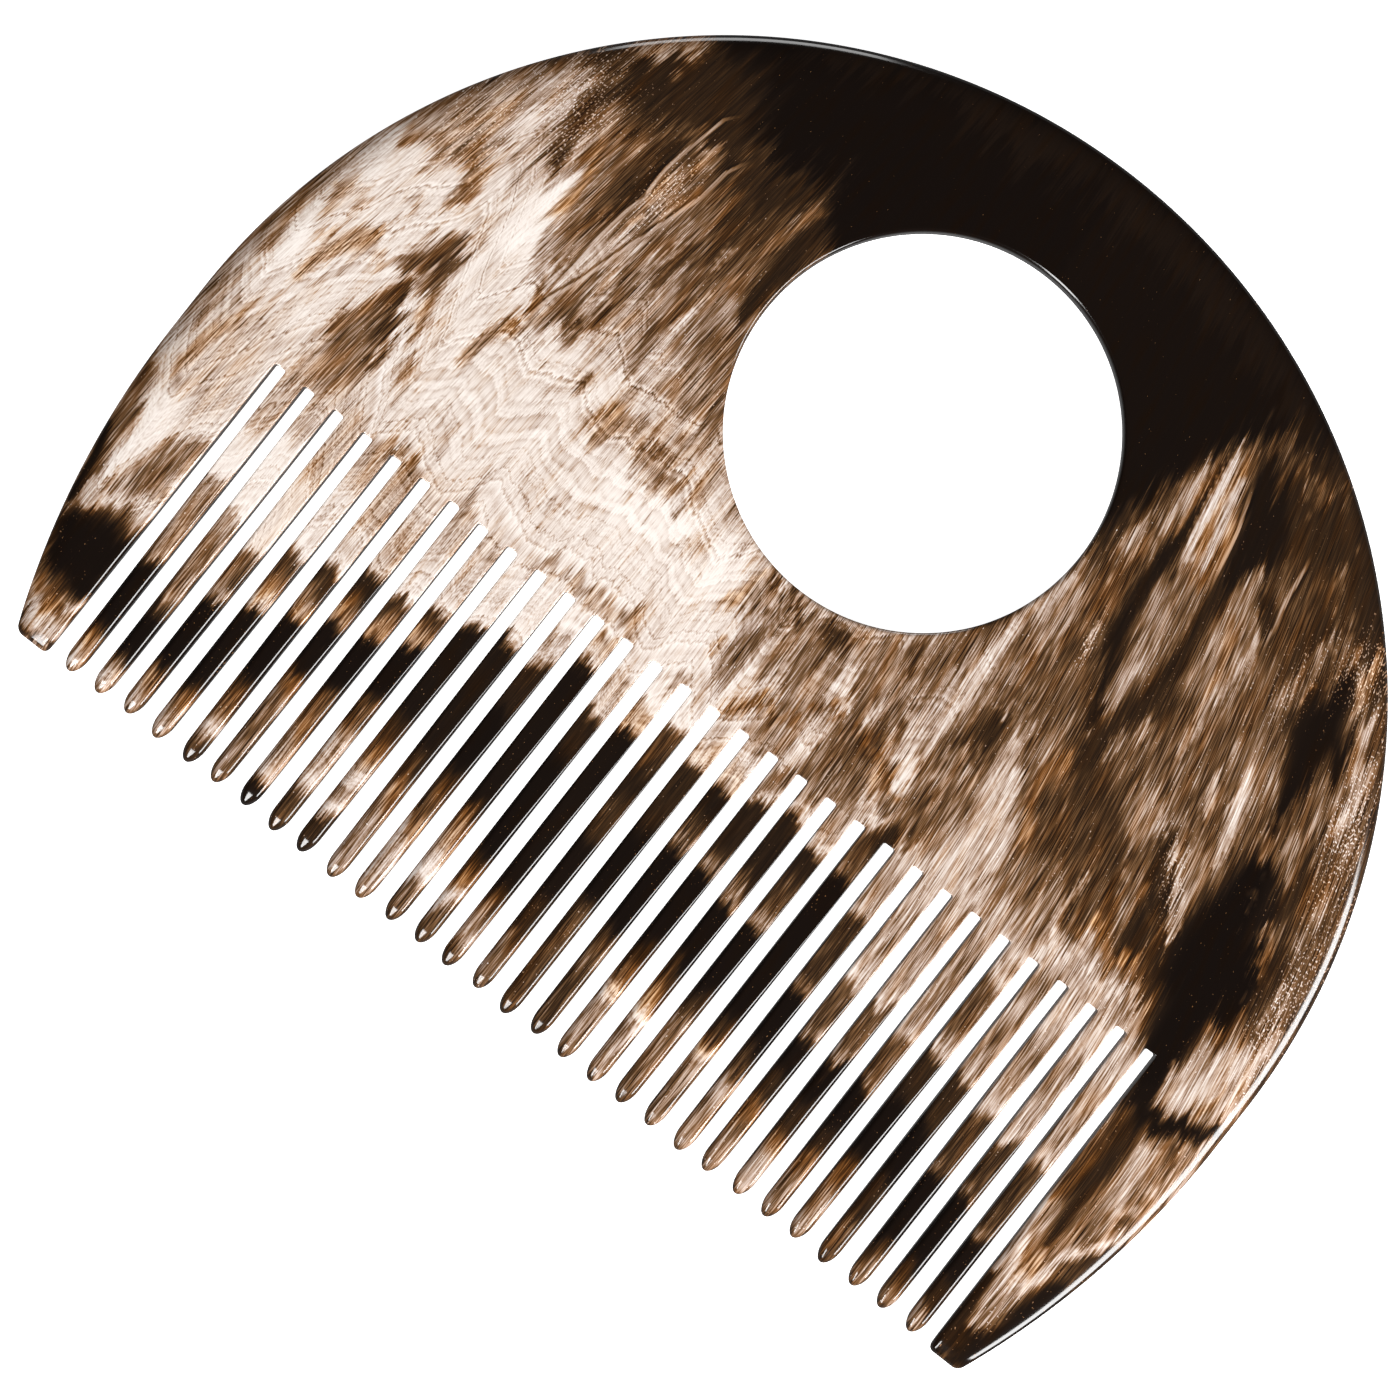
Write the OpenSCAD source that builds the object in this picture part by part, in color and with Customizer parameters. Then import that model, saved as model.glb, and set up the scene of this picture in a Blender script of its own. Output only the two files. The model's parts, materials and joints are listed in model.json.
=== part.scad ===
// Horn comb: one flat plate of polished horn with a round back, a thumb hole
// and a row of sawn teeth between two broad guards.
// Millimetres. The plate lies in XY, its underside on Z = 0, its teeth point to -Y.

/* [Plate] */
// Radius of the round back, which is half the width of the comb
back_r = 58; // [56:0.5:62]
// Straight stretch of each flank, just below the round back
flank_len = 4.4; // [2:0.2:8]
// Radius of the flanks that draw in from there to the guard tips
side_r = 78; // [74:1:120]
// Distance from the middle of the round back down to the tooth tips
tip_drop = 33.6; // [30:0.2:36]
// Thickness of the plate
plate_t = 3.5; // [3:0.1:4.5]

/* [Rim] */
// Width of the shallow bevel that runs round inside the rounded edge
bevel_w = 2.6; // [1.5:0.1:4]
// Depth of that bevel at the rounded edge
bevel_drop = 0.35; // [0.2:0.05:0.6]
// Width of the rounded edge, seen from above
edge_w = 1.3; // [0.9:0.1:1.6]

/* [Thumb hole] */
// Radius of the hole
hole_r = 17.5; // [12:0.5:20]
// Height of its middle above the middle of the round back
hole_up = 29; // [26:0.5:30]
// Distance of its middle to the right of the middle of the comb, negative to the left
hole_side = -0.7; // [-2:0.1:2]
// Size of the broken edge round the hole, on both faces
hole_edge = 0.4; // [0.2:0.1:0.8]

/* [Teeth] */
// Number of sawn slots, one more than the thin teeth
slot_count = 31; // [21:2:31]
// Distance from one slot to the next
slot_pitch = 3.22; // [2.8:0.02:3.24]
// Width of a slot at its closed end
slot_root_w = 1.2; // [0.9:0.05:1.4]
// Width of a slot where the tooth tips begin to round
slot_tip_w = 1.45; // [1.3:0.05:1.6]
// Distance of the closed ends below the middle of the round back
root_drop = 1.2; // [0:0.2:4]
// Length of the oval end of a tooth
point_len = 1.8; // [1.6:0.1:3]
// Width of the small flat that is left at the very tip
point_w = 0.3; // [0.2:0.05:0.4]
// Thickness of the plate at the tooth tips
tip_t = 1.9; // [1.5:0.1:2.6]
// Length over which the teeth thin down to their tips
thin_len = 24; // [16:1:28]
// Width of the broken edges of a tooth at its tip, running out where the thinning starts
tooth_bevel = 0.4; // [0.2:0.05:0.5]

/* [Hidden] */
$fn = 96;
HORN = "saddlebrown";
// How far a cutter runs past what it cuts
over = 5;
// Gap between neighbouring edge grooves, out above the teeth
groove_gap = 0.1;
// Steps in which the rounded edge and the tooth ends turn, in degrees
EDGE_STEP = 15;
POINT_STEP = 18;
half_t = plate_t / 2;
// The bounding box is centred on the origin, so the middle of the round back is below it
back_y = (tip_drop - back_r) / 2;
flank_y = back_y - flank_len;
tip_y = back_y - tip_drop;
thin_y = tip_y + thin_len;
root_y = back_y - root_drop;
hole_y = back_y + hole_up;

// Half of the plate cut through from its middle to its rim, as (distance, height)
function rim_section(reach) = let(
    round_x = reach - edge_w,
    shoulder = half_t - bevel_drop,
    top = [
        [round_x - bevel_w, half_t],
        [round_x, shoulder],
        for (turn = [90 - EDGE_STEP:-EDGE_STEP:0])
            [round_x + edge_w * cos(turn), shoulder * sin(turn)]
    ],
    bottom = [for (i = [len(top) - 2:-1:0]) [top[i].x, -top[i].y]]
) concat([[0, half_t]], top, bottom, [[0, -half_t]]);

module rim_disc(reach) {
    rotate_extrude($fn = 180) polygon(rim_section(reach));
}

// The plate above the flanks: half of a round disc
module round_back() {
    translate([0, back_y, 0])
        rotate_extrude(angle = 180, $fn = 180) polygon(rim_section(back_r));
}

// The short straight stretch, with the same section on both sides
module straight_flanks() {
    translate([0, back_y, 0])
        rotate([90, 0, 0]) linear_extrude(flank_len) {
            polygon(rim_section(back_r));
            mirror([1, 0]) polygon(rim_section(back_r));
        }
}

// The plate below: where two large discs overlap, cut off above the flanks and at the tips
module drawn_in_flanks() {
    reach = side_r - back_r;
    intersection() {
        translate([-reach, flank_y, 0]) rim_disc(side_r);
        translate([reach, flank_y, 0]) rim_disc(side_r);
        translate([-back_r - over, tip_y, -plate_t])
            cube([2 * (back_r + over), flank_y - tip_y, 2 * plate_t]);
    }
}

// Side view of the plate: parallel faces that thin down to a rounded end at the tips
module side_view() {
    end_r = tip_t / 2;
    rotate([90, 0, 90]) linear_extrude(2 * (back_r + over), center = true) {
        polygon([
            [back_y + back_r + over, plate_t],
            [thin_y, plate_t],
            [thin_y, half_t],
            [tip_y + end_r, end_r],
            [tip_y + end_r, -end_r],
            [thin_y, -half_t],
            [thin_y, -plate_t],
            [back_y + back_r + over, -plate_t]
        ]);
        translate([tip_y + end_r, 0]) circle(end_r);
    }
}

module thumb_hole() {
    translate([hole_side, hole_y, 0]) {
        cylinder(h = 2 * plate_t, r = hole_r, center = true);
        for (side = [0, 1])
            mirror([0, 0, side])
                translate([0, 0, half_t - hole_edge])
                    cylinder(h = hole_edge + over, r1 = hole_r, r2 = hole_r + hole_edge + over);
    }
}

// One sawn slot in plan, open past the tips, with room for half an oval tooth end on each side
module slot_plan() {
    root_half = slot_root_w / 2;
    corner = root_half / 3;
    tooth_x = slot_pitch / 2;
    tooth_half = tooth_x - slot_tip_w / 2;
    point_y = tip_y + point_len;
    right = [
        [root_half - corner, root_y],
        [root_half, root_y - corner],
        for (turn = [0:POINT_STEP:90 - POINT_STEP])
            [tooth_x - tooth_half * cos(turn), point_y - point_len * sin(turn)],
        [tooth_x - point_w / 2, tip_y],
        [tooth_x - point_w / 2, tip_y - over]
    ];
    left = [for (i = [len(right) - 1:-1:0]) [-right[i].x, right[i].y]];
    polygon(concat(right, left));
}

// A groove over a slot that sinks faster than the face thins, to break the edges beside it
module edge_groove() {
    sink = half_t - tip_t / 2 + tooth_bevel;
    depth = slot_root_w / 2;
    reach = (slot_pitch - groove_gap) / 2;
    translate([0, thin_y, half_t])
        rotate([90 + atan(sink / thin_len), 0, 0])
            linear_extrude(thin_len + over)
                polygon([[0, -depth], [reach, reach - depth], [-reach, reach - depth]]);
}

module slots() {
    for (i = [0:slot_count - 1])
        translate([(i - (slot_count - 1) / 2) * slot_pitch, 0, 0]) {
            linear_extrude(2 * plate_t, center = true) slot_plan();
            edge_groove();
            mirror([0, 0, 1]) edge_groove();
        }
}

module comb() {
    color(HORN) translate([0, 0, half_t])
        difference() {
            intersection() {
                union() {
                    round_back();
                    straight_flanks();
                    drawn_in_flanks();
                }
                side_view();
            }
            thumb_hole();
            slots();
        }
}

comb();
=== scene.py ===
import json
from math import asin, cos, hypot, pi, radians, sin, sqrt

import bmesh
import bpy
import numpy as np
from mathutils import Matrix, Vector
from mathutils.geometry import delaunay_2d_cdt


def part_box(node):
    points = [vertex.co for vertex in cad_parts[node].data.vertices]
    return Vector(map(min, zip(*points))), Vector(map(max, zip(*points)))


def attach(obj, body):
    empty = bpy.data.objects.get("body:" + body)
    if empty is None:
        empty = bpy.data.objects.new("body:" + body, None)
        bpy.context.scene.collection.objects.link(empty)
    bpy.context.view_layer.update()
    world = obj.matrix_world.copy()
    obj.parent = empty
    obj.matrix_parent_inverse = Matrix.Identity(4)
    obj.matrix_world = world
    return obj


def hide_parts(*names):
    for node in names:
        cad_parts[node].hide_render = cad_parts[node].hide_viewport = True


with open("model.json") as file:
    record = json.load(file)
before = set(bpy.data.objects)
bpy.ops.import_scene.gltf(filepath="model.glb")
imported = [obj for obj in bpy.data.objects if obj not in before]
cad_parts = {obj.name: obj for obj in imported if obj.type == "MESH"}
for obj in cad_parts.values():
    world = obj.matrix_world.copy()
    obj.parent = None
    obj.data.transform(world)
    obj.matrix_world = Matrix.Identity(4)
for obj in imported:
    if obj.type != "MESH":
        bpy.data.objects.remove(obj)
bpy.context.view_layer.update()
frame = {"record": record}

# The comb lies in XY with its teeth towards -Y. Its sizes are in metres, and its figure is in millimetres.
PLATE_LOW, PLATE_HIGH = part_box("comb")
THUMB_HOLE = next(m for m in frame["record"]["mounts"] if m["name"] == "thumb_hole")
MM = 1000

# Outline of the plate
BACK_R = (PLATE_HIGH.x - PLATE_LOW.x) / 2
BACK_Y = PLATE_HIGH.y - BACK_R
TIP_Y = PLATE_LOW.y
PLATE_T = PLATE_HIGH.z - PLATE_LOW.z
MID_Z = PLATE_T / 2
FLANK_LEN = 0.0044
FLANK_Y = BACK_Y - FLANK_LEN
SIDE_R = 0.078
HOLE_X, HOLE_Y = THUMB_HOLE["pos_m"][:2]
HOLE_R = THUMB_HOLE["dims"]["r_mm"] / MM

# Slots and teeth
TOOTH_COUNT = 30
PITCH = 0.00322
ROOT_DROP = 0.0012
ROOT_Y = BACK_Y - ROOT_DROP
SLOT_ROOT_HALF = 0.0006
SLOT_TIP_HALF = 0.000725
SLOT_CORNER_R = 0.0002
POINT_LEN = 0.0018
POINT_Y = TIP_Y + POINT_LEN
TIP_T = 0.0019
# Length over which the faces close round at a tooth's tip, and over which a tooth thins
TIP_CLOSE = 0.0017
THIN_LEN = 0.024
THIN_Y = TIP_Y + THIN_LEN
# How far a tooth may stray sideways or end short at its tip, and how far below the root that begins
STRAY = 0.00012
SHORTFALL = 0.0003
STRAY_START = 0.003
STRAY_CURVE = 1.5
STRAY_SEED = 7

# Edges
RIM_W = 0.0042
RIM_DROP = 0.00125
RIM_FULLNESS = 2.5
HOLE_EDGE = 0.00035
SAWN_EDGE = 0.0001
# The teeth's edges are ground wider from this far below the root, over this length, to this share of a tooth
GRIND_START = 0.006
GRIND_LEN = 0.018
GROUND_SHARE = 0.62
# The most of half a tooth that an edge may take up, and of a guard's free width that its rim may
EDGE_MOST = 0.9
RIM_MOST = 0.8
GUARD_CORNER_R = 0.0006
# Share of its width that an edge loses at a guard's corner
CORNER_LOSS = 0.7

# Fineness of the mesh
SIDE_ROWS = 54
POINT_TURNS = (14, 28, 40, 51, 61, 69, 76, 81, 85)
RIM_STEPS = (0, 0.12, 0.24, 0.36, 0.47, 0.57, 0.66, 0.74, 0.81, 0.87, 0.92, 0.96, 0.985, 1)
EDGE_STEPS = 4
CORNER_STEPS = 4
FLAT_BAND = 0.00015
RIM_STATIONS = 280
HOLE_STATIONS = 180
TOOTH_ACROSS = 2
GUARD_ACROSS = 14
UPPER_GRID = 0.0005
UNDER_GRID = 0.001
# Height of a row of the staggered grid, and how far the grid stays off an outline, in cells
GRID_ROW = 0.866
GRID_CLEAR = 0.6
WELD = 0.000001
SAME_POINT = 1e-9

# The camera looks straight down, turned so that the teeth point to the lower left
VIEW_TURN = radians(38.2)
VIEW_CENTRE = Vector((-0.0016, -0.0136, PLATE_T))
VIEW_HEIGHT = 0.55
VIEW_WIDTH = 0.12205
SENSOR = 36
CLIP_START = 0.01

# Paper under the comb, and how white it is to anything but the camera
FLOOR_HALF = 2.0
FLOOR_GAP = 0.00005
FLOOR_GLOW = 0.1
# Lamps as (name, degrees round from +X, degrees down from straight above, distance, width, length, watts)
SOFTBOXES = (
    ("softbox_right", -3, 62, 0.9, 0.36, 0.72, 15),
    ("softbox_left", 126, 76, 1.2, 0.42, 0.5, 4),
    ("softbox_front", -95, 50, 1.0, 0.8, 0.18, 8),
)
STUDIO_GREY = 0.02


def ease(t):
    """0 to 1 with a soft start and end."""
    t = min(max(t, 0.0), 1.0)
    return t * t * (3 - 2 * t)


def mix(a, b, t):
    return a + (b - a) * t


# Rows of vertices over an edge


def mirrored(upper):
    """(inset, height) pairs of the upper half of an edge, followed by the same below."""
    return upper + [(inset, -height) for inset, height in reversed(upper)]


def round_edge(half_t, width, height, band=FLAT_BAND):
    """A quarter oval over each arris, with a narrow band of the flat face beside it."""
    upper = [(width + band, half_t)]
    for i in range(EDGE_STEPS + 1):
        turn = pi / 2 * i / EDGE_STEPS
        upper.append((width * (1 - sin(turn)), half_t - height * (1 - cos(turn))))
    return mirrored(upper)


def rim_edge(half_t, width=RIM_W):
    """The outer rim, which falls away slowly at first and then turns over."""
    drop = RIM_DROP * half_t / MID_Z
    upper = [(width + FLAT_BAND, half_t)]
    for out in RIM_STEPS:
        upper.append((width * (1 - out), half_t - drop * (1 - sqrt(1 - out**RIM_FULLNESS))))
    return mirrored(upper)


def station(bm, x, y, inward, profile):
    """One row of vertices over the edge at (x, y), with the solid on the inward side."""
    return [
        bm.verts.new((x + inward[0] * inset, y + inward[1] * inset, MID_Z + height))
        for inset, height in profile
    ]


def skin(bm, rows):
    """Quads between neighbouring rows of vertices."""
    for row, after in zip(rows, rows[1:]):
        for i in range(len(row) - 1):
            bm.faces.new((row[i], row[i + 1], after[i + 1], after[i]))


# Shape of the teeth, by the distance along them


def half_thickness(y):
    """The teeth thin evenly from THIN_Y down and close round at the tips."""
    run = min(max((THIN_Y - y) / (THIN_Y - TIP_Y), 0.0), 1.0)
    thin = mix(PLATE_T, TIP_T, run) / 2
    left = (y - TIP_Y) / TIP_CLOSE
    return thin * sqrt(max(1 - (1 - left) ** 2, 0.0)) if left < 1 else thin


def slot_half(y):
    return mix(SLOT_ROOT_HALF, SLOT_TIP_HALF, (ROOT_Y - y) / (ROOT_Y - POINT_Y))


def tooth_half(y):
    """Half the width of a tooth, which ends in half an oval."""
    turn = asin(min(max((POINT_Y - y) / POINT_LEN, 0.0), 1.0))
    return (PITCH / 2 - slot_half(max(y, POINT_Y))) * cos(turn)


def edge_width(y, half_w):
    """How wide the edge of a tooth is: narrow at the sawn root, wide where the tooth is ground."""
    ground = GROUND_SHARE * (PITCH / 2 - SLOT_TIP_HALF)
    width = mix(SAWN_EDGE, ground, ease((ROOT_Y - GRIND_START - y) / GRIND_LEN))
    return min(width, EDGE_MOST * half_w)


def row_heights():
    """The y of each row up a tooth: close together round the oval end, then even."""
    ends = [POINT_Y - POINT_LEN * sin(radians(turn)) for turn in reversed(POINT_TURNS)]
    return ends + [mix(POINT_Y, TOP_ROW, i / SIDE_ROWS) for i in range(SIDE_ROWS + 1)]


def tooth_flank(y):
    """(distance from the middle of the slot, edge) of a tooth at y."""
    half_w = tooth_half(y)
    width = edge_width(y, half_w)
    band = min(FLAT_BAND, (half_w - width) / 2)
    return PITCH / 2 - half_w, flank_edge(y, width, band)


def flank_edge(y, width, band=FLAT_BAND):
    """The edge of a flank at y, as high as it is wide unless the tooth is too thin there."""
    half_t = half_thickness(y)
    return round_edge(half_t, width, min(width, EDGE_MOST * half_t), band)


def guard_edge_x(y):
    """The outer edge of a guard: straight at first, then drawn in on a large radius."""
    return BACK_R - SIDE_R + sqrt(SIDE_R**2 - min(y - FLANK_Y, 0.0) ** 2) - corner_cut(y)


def corner_cut(y):
    """How far the corners of a guard's blunt end are drawn in at y."""
    near_tip = max(1 - (y - TIP_Y) / GUARD_CORNER_R, 0.0)
    return GUARD_CORNER_R * (1 - sqrt(1 - near_tip**2))


def guard_flank(y):
    """(distance from the middle of the slot, edge) of a guard's straight side at y."""
    width = edge_width(y, PITCH / 2) * (1 - corner_cut(y) / GUARD_CORNER_R * CORNER_LOSS)
    return slot_half(y) + corner_cut(y), flank_edge(y, width)


def guard_rim(y):
    """The edge on the outer side of a guard, narrower where the guard is."""
    inner_x = PITCH * TOOTH_COUNT / 2 + slot_half(y) + corner_cut(y) + edge_width(y, PITCH)
    free = guard_edge_x(y) - inner_x - 3 * FLAT_BAND
    return rim_edge(half_thickness(y), min(RIM_W, RIM_MOST * free))


def sawn_rows(bm, slot_x, side, flank):
    """Rows up one flank and round to the middle of the slot at slot_x, which lies on the given side."""
    rows = []
    for y in row_heights():
        gap, profile = flank(y)
        rows.append(station(bm, slot_x - side * gap, y, (-side, 0), profile))
    for place, inward in slot_end(side):
        rows.append(station(bm, slot_x + place[0], place[1], inward, ROOT_EDGE))
    skin(bm, rows)
    return rows


def slot_end(side):
    """(place, inward) round half the closed end of a slot, from the flank to its middle."""
    corner_x = -side * (SLOT_ROOT_HALF - SLOT_CORNER_R)
    corner_y = ROOT_Y - SLOT_CORNER_R
    end = []
    for i in range(CORNER_STEPS + 1):
        turn = pi / 2 * i / CORNER_STEPS
        inward = (-side * cos(turn), sin(turn))
        end.append(((corner_x + inward[0] * SLOT_CORNER_R, corner_y + inward[1] * SLOT_CORNER_R), inward))
    return end + [((0, ROOT_Y), (0, 1))]


def close_faces(bm, left, right, across):
    """Closes both faces and the tip between two flanks, with `across` cells from one to the other."""
    count = len(row_heights())
    rungs = {}
    for end in (0, -1):
        rungs[end] = []
        for i in range(count):
            a, b = left[i][end], right[i][end]
            inner = [bm.verts.new(a.co.lerp(b.co, j / across)) for j in range(1, across)]
            rungs[end].append([a] + inner + [b])
        skin(bm, rungs[end])
    bm.faces.new(left[0] + rungs[-1][0][1:-1] + right[0][::-1] + rungs[0][0][-2:0:-1])


def build_tooth():
    """One tooth on x = 0 with half a slot's closed end on each side of it."""
    bm = bmesh.new()
    left = sawn_rows(bm, -PITCH / 2, -1, tooth_flank)
    right = sawn_rows(bm, PITCH / 2, 1, tooth_flank)
    close_faces(bm, left, right, TOOTH_ACROSS)
    return finish_mesh(bm, "tooth")


def add_guard(bm, side):
    """The broad end tooth on one side, from the middle of the last slot to the rim."""
    inner = sawn_rows(bm, side * PITCH * TOOTH_COUNT / 2, -side, guard_flank)
    outer = []
    for y in row_heights() + [BACK_Y]:
        slant = hypot(1, min(y - FLANK_Y, 0.0) / SIDE_R)
        profile = [(inset * slant, height) for inset, height in guard_rim(y)]
        outer.append(station(bm, side * guard_edge_x(y), y, (-side, 0), profile))
    skin(bm, outer)
    close_faces(bm, inner, outer, GUARD_ACROSS)


def add_round_back(bm):
    """The half disc above the slots, with its rim and the thumb hole."""
    rim = []
    for i in range(RIM_STATIONS + 1):
        turn = pi * i / RIM_STATIONS
        x, y = BACK_R * cos(turn), BACK_Y + BACK_R * sin(turn)
        rim.append(station(bm, x, y, (-cos(turn), -sin(turn)), rim_edge(MID_Z)))
    skin(bm, rim)
    hole = []
    for i in range(HOLE_STATIONS):
        turn = 2 * pi * i / HOLE_STATIONS
        x, y = HOLE_X + HOLE_R * cos(turn), HOLE_Y + HOLE_R * sin(turn)
        hole.append(station(bm, x, y, (cos(turn), sin(turn)), round_edge(MID_Z, HOLE_EDGE, HOLE_EDGE)))
    skin(bm, hole + hole[:1])
    outline = [row[0].co.xy for row in rim] + sawn_line()
    opening = [row[0].co.xy for row in hole]
    fill_face(bm, outline, opening, PLATE_T, UPPER_GRID)
    fill_face(bm, outline, opening, 0, UNDER_GRID)


def sawn_line():
    """The lower outline of the plate's face, from the left guard over all the slots to the right guard."""
    reach = ROOT_EDGE[0][0]
    gap = slot_half(TOP_ROW) + reach
    rim_x = guard_edge_x(TOP_ROW) - guard_rim(TOP_ROW)[0][0]
    half_end = [(p[0] + i[0] * reach, p[1] + i[1] * reach) for p, i in slot_end(1)]
    slot = [(-gap, TOP_ROW)] + half_end + [(-x, y) for x, y in half_end[-2::-1]] + [(gap, TOP_ROW)]
    slot_xs = [PITCH * (i - TOOTH_COUNT / 2) for i in range(TOOTH_COUNT + 1)]
    line = steps_along(-rim_x, slot_xs[0] - gap, GUARD_ACROSS)
    for i, slot_x in enumerate(slot_xs):
        line += [Vector((slot_x + x, y)) for x, y in slot]
        if i < TOOTH_COUNT:
            line += steps_along(slot_x + gap, slot_x + PITCH - gap, TOOTH_ACROSS)[1:]
    return line + steps_along(slot_xs[-1] + gap, rim_x, GUARD_ACROSS)[1:] + [Vector((rim_x, TOP_ROW))]


def steps_along(start_x, end_x, count):
    """Points along the top row of a tooth or guard, without the last one."""
    return [Vector((mix(start_x, end_x, i / count), TOP_ROW)) for i in range(count)]


def fill_face(bm, outline, opening, z, grid):
    """Triangles between the outline and the thumb hole, over a grid of points that can hold the figure."""
    loops = [list(range(len(outline))), list(range(len(outline), len(outline) + len(opening)))]
    edges = [(a, b) for loop in loops for a, b in zip(loop, loop[1:] + loop[:1])]
    centre = Vector((HOLE_X, HOLE_Y))
    reach = (opening[0] - centre).length
    inside = grid_points(grid, centre, reach)
    points, _, triangles, *_ = delaunay_2d_cdt(outline + opening + inside, edges, [], 1, SAME_POINT, False)
    made = [bm.verts.new((p.x, p.y, z)) for p in points]
    for triangle in triangles:
        middle = sum((points[i] for i in triangle), Vector((0, 0))) / 3
        if (middle - centre).length > reach and not in_slot(middle):
            bm.faces.new([made[i] for i in triangle])


def in_slot(p):
    """Whether a point of the face lies over the closed end of a slot."""
    slot_x = round(p.x / PITCH) * PITCH
    across = max(abs(p.x - slot_x) - SLOT_ROOT_HALF + SLOT_CORNER_R, 0)
    up = max(p.y - ROOT_Y + SLOT_CORNER_R, 0)
    return abs(slot_x) < PITCH * (TOOTH_COUNT + 1) / 2 and hypot(across, up) < SLOT_CORNER_R + ROOT_EDGE[0][0]


def grid_points(grid, centre, reach):
    """Staggered points over the plate's face, clear of its outline and of the hole."""
    back = Vector((0, BACK_Y))
    flat_r = BACK_R - RIM_W - FLAT_BAND - grid * GRID_CLEAR
    low_y = ROOT_Y + ROOT_EDGE[0][0] + grid * GRID_CLEAR
    made = []
    for j in range(int((BACK_Y + flat_r - low_y) / (grid * GRID_ROW)) + 1):
        y = low_y + j * grid * GRID_ROW
        for i in range(-int(flat_r / grid) - 1, int(flat_r / grid) + 2):
            p = Vector(((i + j % 2 / 2) * grid, y))
            on_plate = abs(p.x) < flat_r if y < BACK_Y else (p - back).length < flat_r
            if on_plate and (p - centre).length > reach + grid * GRID_CLEAR:
                made.append(p)
    return made


def finish_mesh(bm, name):
    """Welds what meets, points the faces outwards and returns a smooth mesh."""
    bmesh.ops.remove_doubles(bm, verts=bm.verts, dist=WELD)
    bmesh.ops.recalc_face_normals(bm, faces=bm.faces)
    for face in bm.faces:
        face.smooth = True
    mesh = bpy.data.meshes.new(name)
    bm.to_mesh(mesh)
    bm.free()
    return mesh


def add_object(name, data):
    made = bpy.data.objects.new(name, data)
    bpy.context.scene.collection.objects.link(made)
    return made


TOP_ROW = ROOT_Y - SLOT_CORNER_R - SAWN_EDGE
ROOT_EDGE = round_edge(MID_Z, SAWN_EDGE, SAWN_EDGE)

# The row of teeth, by Geometry Nodes
TOOTH_ROW_INPUTS = (
    ("Tooth", "Geometry"),
    ("Count", "Int"),
    ("Pitch", "Float"),
    ("Root", "Float"),
    ("Tip", "Float"),
    ("Stray", "Float"),
    ("Shortfall", "Float"),
    ("Seed", "Int"),
    ("Horn", "Material"),
)


def tooth_row_tree():
    """Repeats a tooth along X and lets each one stray a little, as hand-sawn teeth do."""
    tree = bpy.data.node_groups.new("tooth_row", "GeometryNodeTree")
    for name, kind in TOOTH_ROW_INPUTS:
        tree.interface.new_socket(name, in_out="INPUT", socket_type="NodeSocket" + kind)
    tree.interface.new_socket("Teeth", in_out="OUTPUT", socket_type="NodeSocketGeometry")
    given = tree.nodes.new("NodeGroupInput").outputs
    link = tree.links.new

    first = calc(tree, "MULTIPLY", calc(tree, "SUBTRACT", given["Count"], 1.0), -0.5)
    start = add(tree, "ShaderNodeCombineXYZ", {0: calc(tree, "MULTIPLY", first, given["Pitch"])})
    apart = add(tree, "ShaderNodeCombineXYZ", {0: given["Pitch"]})
    row = {"Count": given["Count"], "Start Location": start, "Offset": apart}
    line = add(tree, "GeometryNodeMeshLine", row)
    placed = add(tree, "GeometryNodeInstanceOnPoints", {"Points": line, "Instance": given["Tooth"]})
    own = placed.outputs[0]
    for name, low, shift in (("stray", -1.0, 0), ("shortfall", 0.0, 1)):
        chance = add(tree, "FunctionNodeRandomValue", data_type="FLOAT")
        chance.inputs[2].default_value = low
        chance.inputs[3].default_value = 1.0
        link(calc(tree, "ADD", given["Seed"], float(shift)), chance.inputs["Seed"])
        kept = add(tree, "GeometryNodeStoreNamedAttribute", data_type="FLOAT", domain="INSTANCE")
        kept.inputs["Name"].default_value = name
        link(own, kept.inputs["Geometry"])
        link(chance.outputs[1], kept.inputs["Value"])
        own = kept.outputs[0]
    solid = add(tree, "GeometryNodeRealizeInstances", {0: own})

    place = add(tree, "ShaderNodeSeparateXYZ", {0: add(tree, "GeometryNodeInputPosition")})
    run = add(tree, "ShaderNodeMapRange", {0: place.outputs[1], 1: given["Root"], 2: given["Tip"]})
    run = calc(tree, "POWER", run.outputs[0], STRAY_CURVE)
    moves = []
    for name, most in (("stray", given["Stray"]), ("shortfall", given["Shortfall"])):
        share = add(tree, "GeometryNodeInputNamedAttribute", data_type="FLOAT")
        share.inputs["Name"].default_value = name
        moves.append(calc(tree, "MULTIPLY", calc(tree, "MULTIPLY", share.outputs[0], most), run))
    move = add(tree, "ShaderNodeCombineXYZ", {0: moves[0], 1: moves[1]})
    moved = add(tree, "GeometryNodeSetPosition", {"Geometry": solid, "Offset": move})
    dressed = add(tree, "GeometryNodeSetMaterial", {"Geometry": moved, "Material": given["Horn"]})
    link(dressed.outputs[0], tree.nodes.new("NodeGroupOutput").inputs[0])
    return tree


def plain_mesh_of(tree, mesh, values):
    """The plain mesh that comes out of a tree, run on a mesh with values by the names of its sockets."""
    carrier = add_object("carrier", mesh)
    modifier = carrier.modifiers.new("nodes", "NODES")
    modifier.node_group = tree
    for item in tree.interface.items_tree:
        if item.in_out == "INPUT" and item.name in values:
            modifier[item.identifier] = values[item.name]
    shown = carrier.evaluated_get(bpy.context.evaluated_depsgraph_get())
    made = bpy.data.meshes.new_from_object(shown)
    bpy.data.objects.remove(carrier)
    return made


# Nodes


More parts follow.
